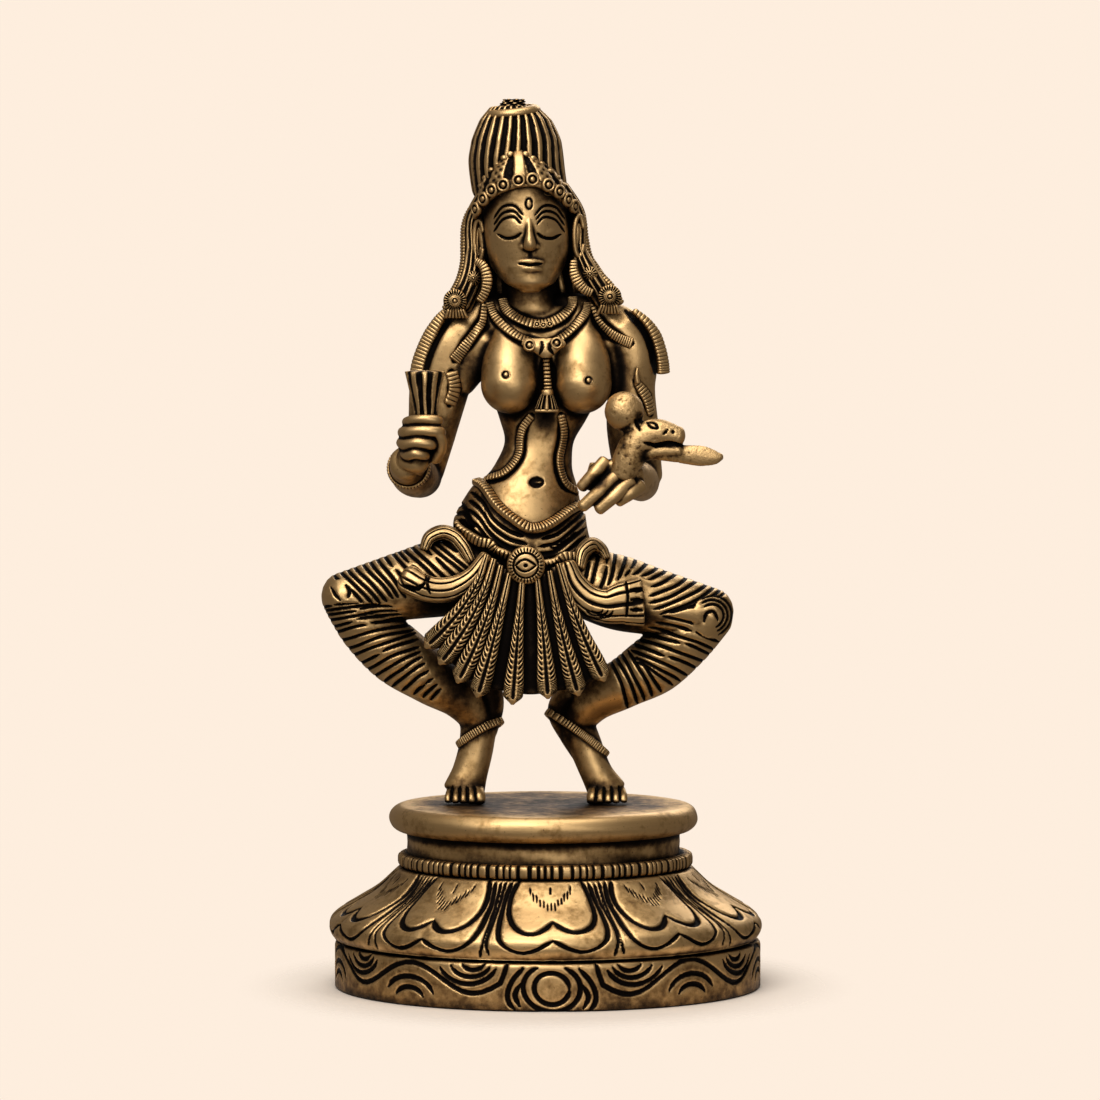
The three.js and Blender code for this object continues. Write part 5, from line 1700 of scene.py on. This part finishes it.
for bead in beads:
    out = unit_rows((np.array([bead]) - (-3.2, 0.5, 86.5)) * (1, 1, 0.3))[0]
    crown.append(stud(np.array(bead) + out * 0.1, out, 1.0))
piece("diadem", crown)


# %% Ears and earrings
def loop(centre, half_width, half_height, thick, face):
    """An upright hoop that is open at one side, so that the ear fills the gap."""
    turn = np.linspace(0.15 * math.pi, 1.85 * math.pi, 21)
    across, face = np.cross(UP, face), np.asarray(face, float)
    across = across / np.linalg.norm(across)
    spots = [across * half_width * math.cos(a) + UP * half_height * math.sin(a) + centre for a in turn]
    return limb([[*s, thick, thick * 1.3] for s in spots], 12, 50, face=face, ends=(0.8, 0.8))


def rosette(centre, radius, count):
    """A low disc with fine rays cut from its ringed boss to the rim."""
    disc = ball(centre, (radius, 0.6, radius), 120)
    cut_front(disc, rays(np.array(centre)[[0, 2]], radius * 0.48, radius, count), 0.15, 0.22)
    return [disc, stud((centre[0], centre[1] - 0.55, centre[2]), (0, -1, 0), radius * 0.38)]


ornaments = []
for centre, way in (((-9.4, -1.9, 79.9), -1), ((4.6, -1.9, 80.5), 1)):
    ornaments.append(loop(centre, 0.75, 2.9, 0.36, (0.5 * way, -1, 0)))
    ornaments.append(loop((centre[0], centre[1] + 0.2, centre[2] - 0.2), 0.3, 1.9, 0.2, (0.5 * way, -1, 0)))
crescents = (
    [[-9.8, -3.4, 77.0], [-8.8, -4.0, 76.3], [-8.25, -4.2, 74.6], [-8.5, -4.0, 72.8], [-9.3, -3.5, 71.4]],
    [[3.9, -3.4, 77.0], [3.9, -4.0, 75.6], [4.4, -4.2, 74.2], [5.3, -4.0, 73.1], [6.4, -3.5, 72.5]],
)
for line in crescents:
    spots = smooth_line(line, 24)
    crescent_taper = ([0, 0.5, 1], [0.7, 1.1, 0.8])
    ornaments.append(bar(
        spots, TOWARDS_US, 0.72, 0.5, spacing=0.42, depth=0.22, ends=(0.5, 0.7), taper=crescent_taper,
    ))
tucked = rosette((-10.2, -2.6, 74.6), 1.1, 13) + rosette((6.2, -2.6, 75.2), 1.1, 13)
piece("ear_flowers", tucked, extra_dark=0.45)

# %% [markdown]
# ## Shoulder flowers, hair borders and rings
# Where the tresses reach the shoulders, a flower with a small fringe is pinned on each. A hatched border
# runs down the outer edge of each tress. Bracelets and anklets are bands whose line is found by rays
# from inside the limb, so that they fit it all the way round.

# %% Shoulder flowers with their fringe
for x, z, way in ((-12.8, 71.4, -1), (9.0, 72.0, 1)):
    ornaments += rosette((x, -3.8, z), 1.65, 24)
    for k in range(-3, 4):
        across = 0.42 * k
        root = [x + across * 0.8 - 0.1 * way, -3.7, z - 1.2, 0.22, 0.4]
        tip = [x + across * 1.15 - 0.2 * way, -3.5, z - 2.3, 0.25, 0.4]
        ornaments.append(limb([root, tip], 10, 14, caps=3))
piece("ornaments", ornaments)

# %% Hatched borders of the hair
right_edge = [
    [-9.0, 0.0, 86.0], [-10.5, 0.2, 84.3], [-11.4, 0.2, 82.1], [-11.55, 0.0, 79.6], [-11.6, -0.6, 76.9],
    [-12.2, -1.4, 74.4], [-13.2, -2.2, 72.4], [-14.2, -2.4, 70.2],
]
left_edge = [
    [2.4, 0.0, 86.9], [4.0, 0.2, 85.2], [5.1, 0.2, 83.0], [5.5, 0.0, 80.2], [6.1, -0.6, 77.6],
    [7.4, -1.4, 75.4], [9.2, -2.2, 73.4], [10.6, -2.4, 71.0],
]
borders = []
for line, way in ((right_edge, -1), (left_edge, 1)):
    spots = smooth_line(line, 30)
    border_taper = ([0, 0.2, 1], [0.6, 1, 0.8])
    borders.append(bar(
        spots, (0.75 * way, -0.7, 0.1), 0.55, 0.5, spacing=0.42, depth=0.16, taper=border_taper,
    ))
piece("hair_borders", borders)

# %% Bracelets and anklets
BRACELET, ANKLET = dict(spacing=0.42, depth=0.16), dict(spacing=0.45, depth=0.2)
rings = [
    band_round(body_tree, (-19.2, -8.0, 48.2), (-0.15, -1, 0.25), 0.55, 0.25, lift=0.15, **BRACELET),
    band_round(body_tree, (11.2, -8.6, 47.1), (-0.3, -1, 0.15), 0.5, 0.25, lift=0.0, **BRACELET),
]
for leg in (right, left):
    rings.append(band_round(leg["tree"], *leg["anklet"], 0.6, 0.35, lift=0.0, **ANKLET))
piece("rings", rings)

# %% [markdown]
# ## Camera, floor and light
# The camera stands 1.67 m in front of the figure, at the height of its neck, with a long lens, and looks
# down by three degrees. The floor is a sheet of pale paper that fades out a few centimetres from the
# base, so that no horizon cuts the picture in two. The light is that of a small studio: a large soft
# box high in front, a weaker one low in front, one overhead and one behind. What the lens sees is a
# pale backdrop, but what the metal mirrors is a darker room, because brass needs something dark in it.

# %% Camera
PHOTO_WIDTH_PIXELS, FOCAL_PIXELS, SENSOR_MM = 1100, 4860, 36.0
CAMERA_PLACE, LOOK_DOWN_DEGREES = (0.0008, -1.672, 0.2427), 3.145
camera = add_object("camera", bpy.data.cameras.new("camera"))
camera.data.sensor_width = SENSOR_MM
camera.data.lens = SENSOR_MM * FOCAL_PIXELS / PHOTO_WIDTH_PIXELS
camera.data.clip_end = 50.0
camera.location = CAMERA_PLACE
camera.rotation_euler = (math.radians(90 - LOOK_DOWN_DEGREES), 0, 0)
bpy.context.scene.camera = camera
print("the lens is", round(camera.data.lens), "mm long")

# %% Floor
FLOOR_RADIUS, FADE_FROM, FADE_TO = 0.35, 0.07, 0.11
bm = bmesh.new()
bmesh.ops.create_circle(bm, cap_ends=True, segments=96, radius=FLOOR_RADIUS)
floor = add_object("floor", as_mesh(bm))
paper = bpy.data.materials.new("pale_paper")
paper.use_nodes = True
tree = paper.node_tree
paper_shader = tree.nodes["Principled BSDF"]
paper_shader.inputs["Base Color"].default_value = (0.92, 0.80, 0.68, 1)
paper_shader.inputs["Roughness"].default_value = 0.9
paper_shader.inputs["Specular IOR Level"].default_value = 0.1
place = add_node(tree, "TexCoord").outputs["Object"]
from_middle = add_node(tree, "VectorMath", {0: place}, operation="LENGTH").outputs["Value"]
fade = {"Value": from_middle, "From Min": FADE_FROM, "From Max": FADE_TO}
fade = add_node(tree, "MapRange", fade, interpolation_type="SMOOTHSTEP").outputs[0]
clear = add_node(tree, "BsdfTransparent").outputs[0]
blend = add_node(tree, "MixShader", {"Fac": fade, 1: paper_shader.outputs[0], 2: clear})
feed(tree, tree.nodes["Material Output"].inputs["Surface"], blend.outputs[0])
floor.data.materials.append(paper)

# %% Lights
STATUE_MIDDLE = Vector((0, 0, 0.15))


def soft_box(name, place, size, power):
    """A rectangular lamp that faces the middle of the statue."""
    lamp = bpy.data.lights.new(name, "AREA")
    lamp.shape = "RECTANGLE"
    lamp.size, lamp.size_y = size
    lamp.energy = power
    box = add_object(name, lamp)
    box.location = place
    box.rotation_euler = (STATUE_MIDDLE - Vector(place)).to_track_quat("-Z", "Y").to_euler()


soft_box("key_light", (-0.35, -1.0, 1.1), (0.9, 0.9), 12.2)
soft_box("fill_light", (0.3, -1.5, 0.4), (0.8, 0.8), 3.2)
soft_box("top_light", (0, -0.1, 1.2), (0.8, 0.5), 5)
soft_box("back_light", (0.3, 1.1, 0.8), (0.9, 0.5), 4)

# %% Studio walls
world = bpy.data.worlds.new("studio")
world.use_nodes = True
tree = world.node_tree
backdrop = tree.nodes["Background"]
backdrop.inputs["Color"].default_value = (0.99, 0.855, 0.73, 1)
room = add_node(tree, "Background", {"Color": (1.0, 0.9, 0.8, 1), "Strength": 0.15})
to_lens = add_node(tree, "LightPath").outputs["Is Camera Ray"]
choice = add_node(tree, "MixShader", {"Fac": to_lens, 1: room.outputs[0], 2: backdrop.outputs[0]})
feed(tree, tree.nodes["World Output"].inputs["Surface"], choice.outputs[0])
bpy.context.scene.world = world
bpy.context.scene.view_settings.view_transform = "Standard"
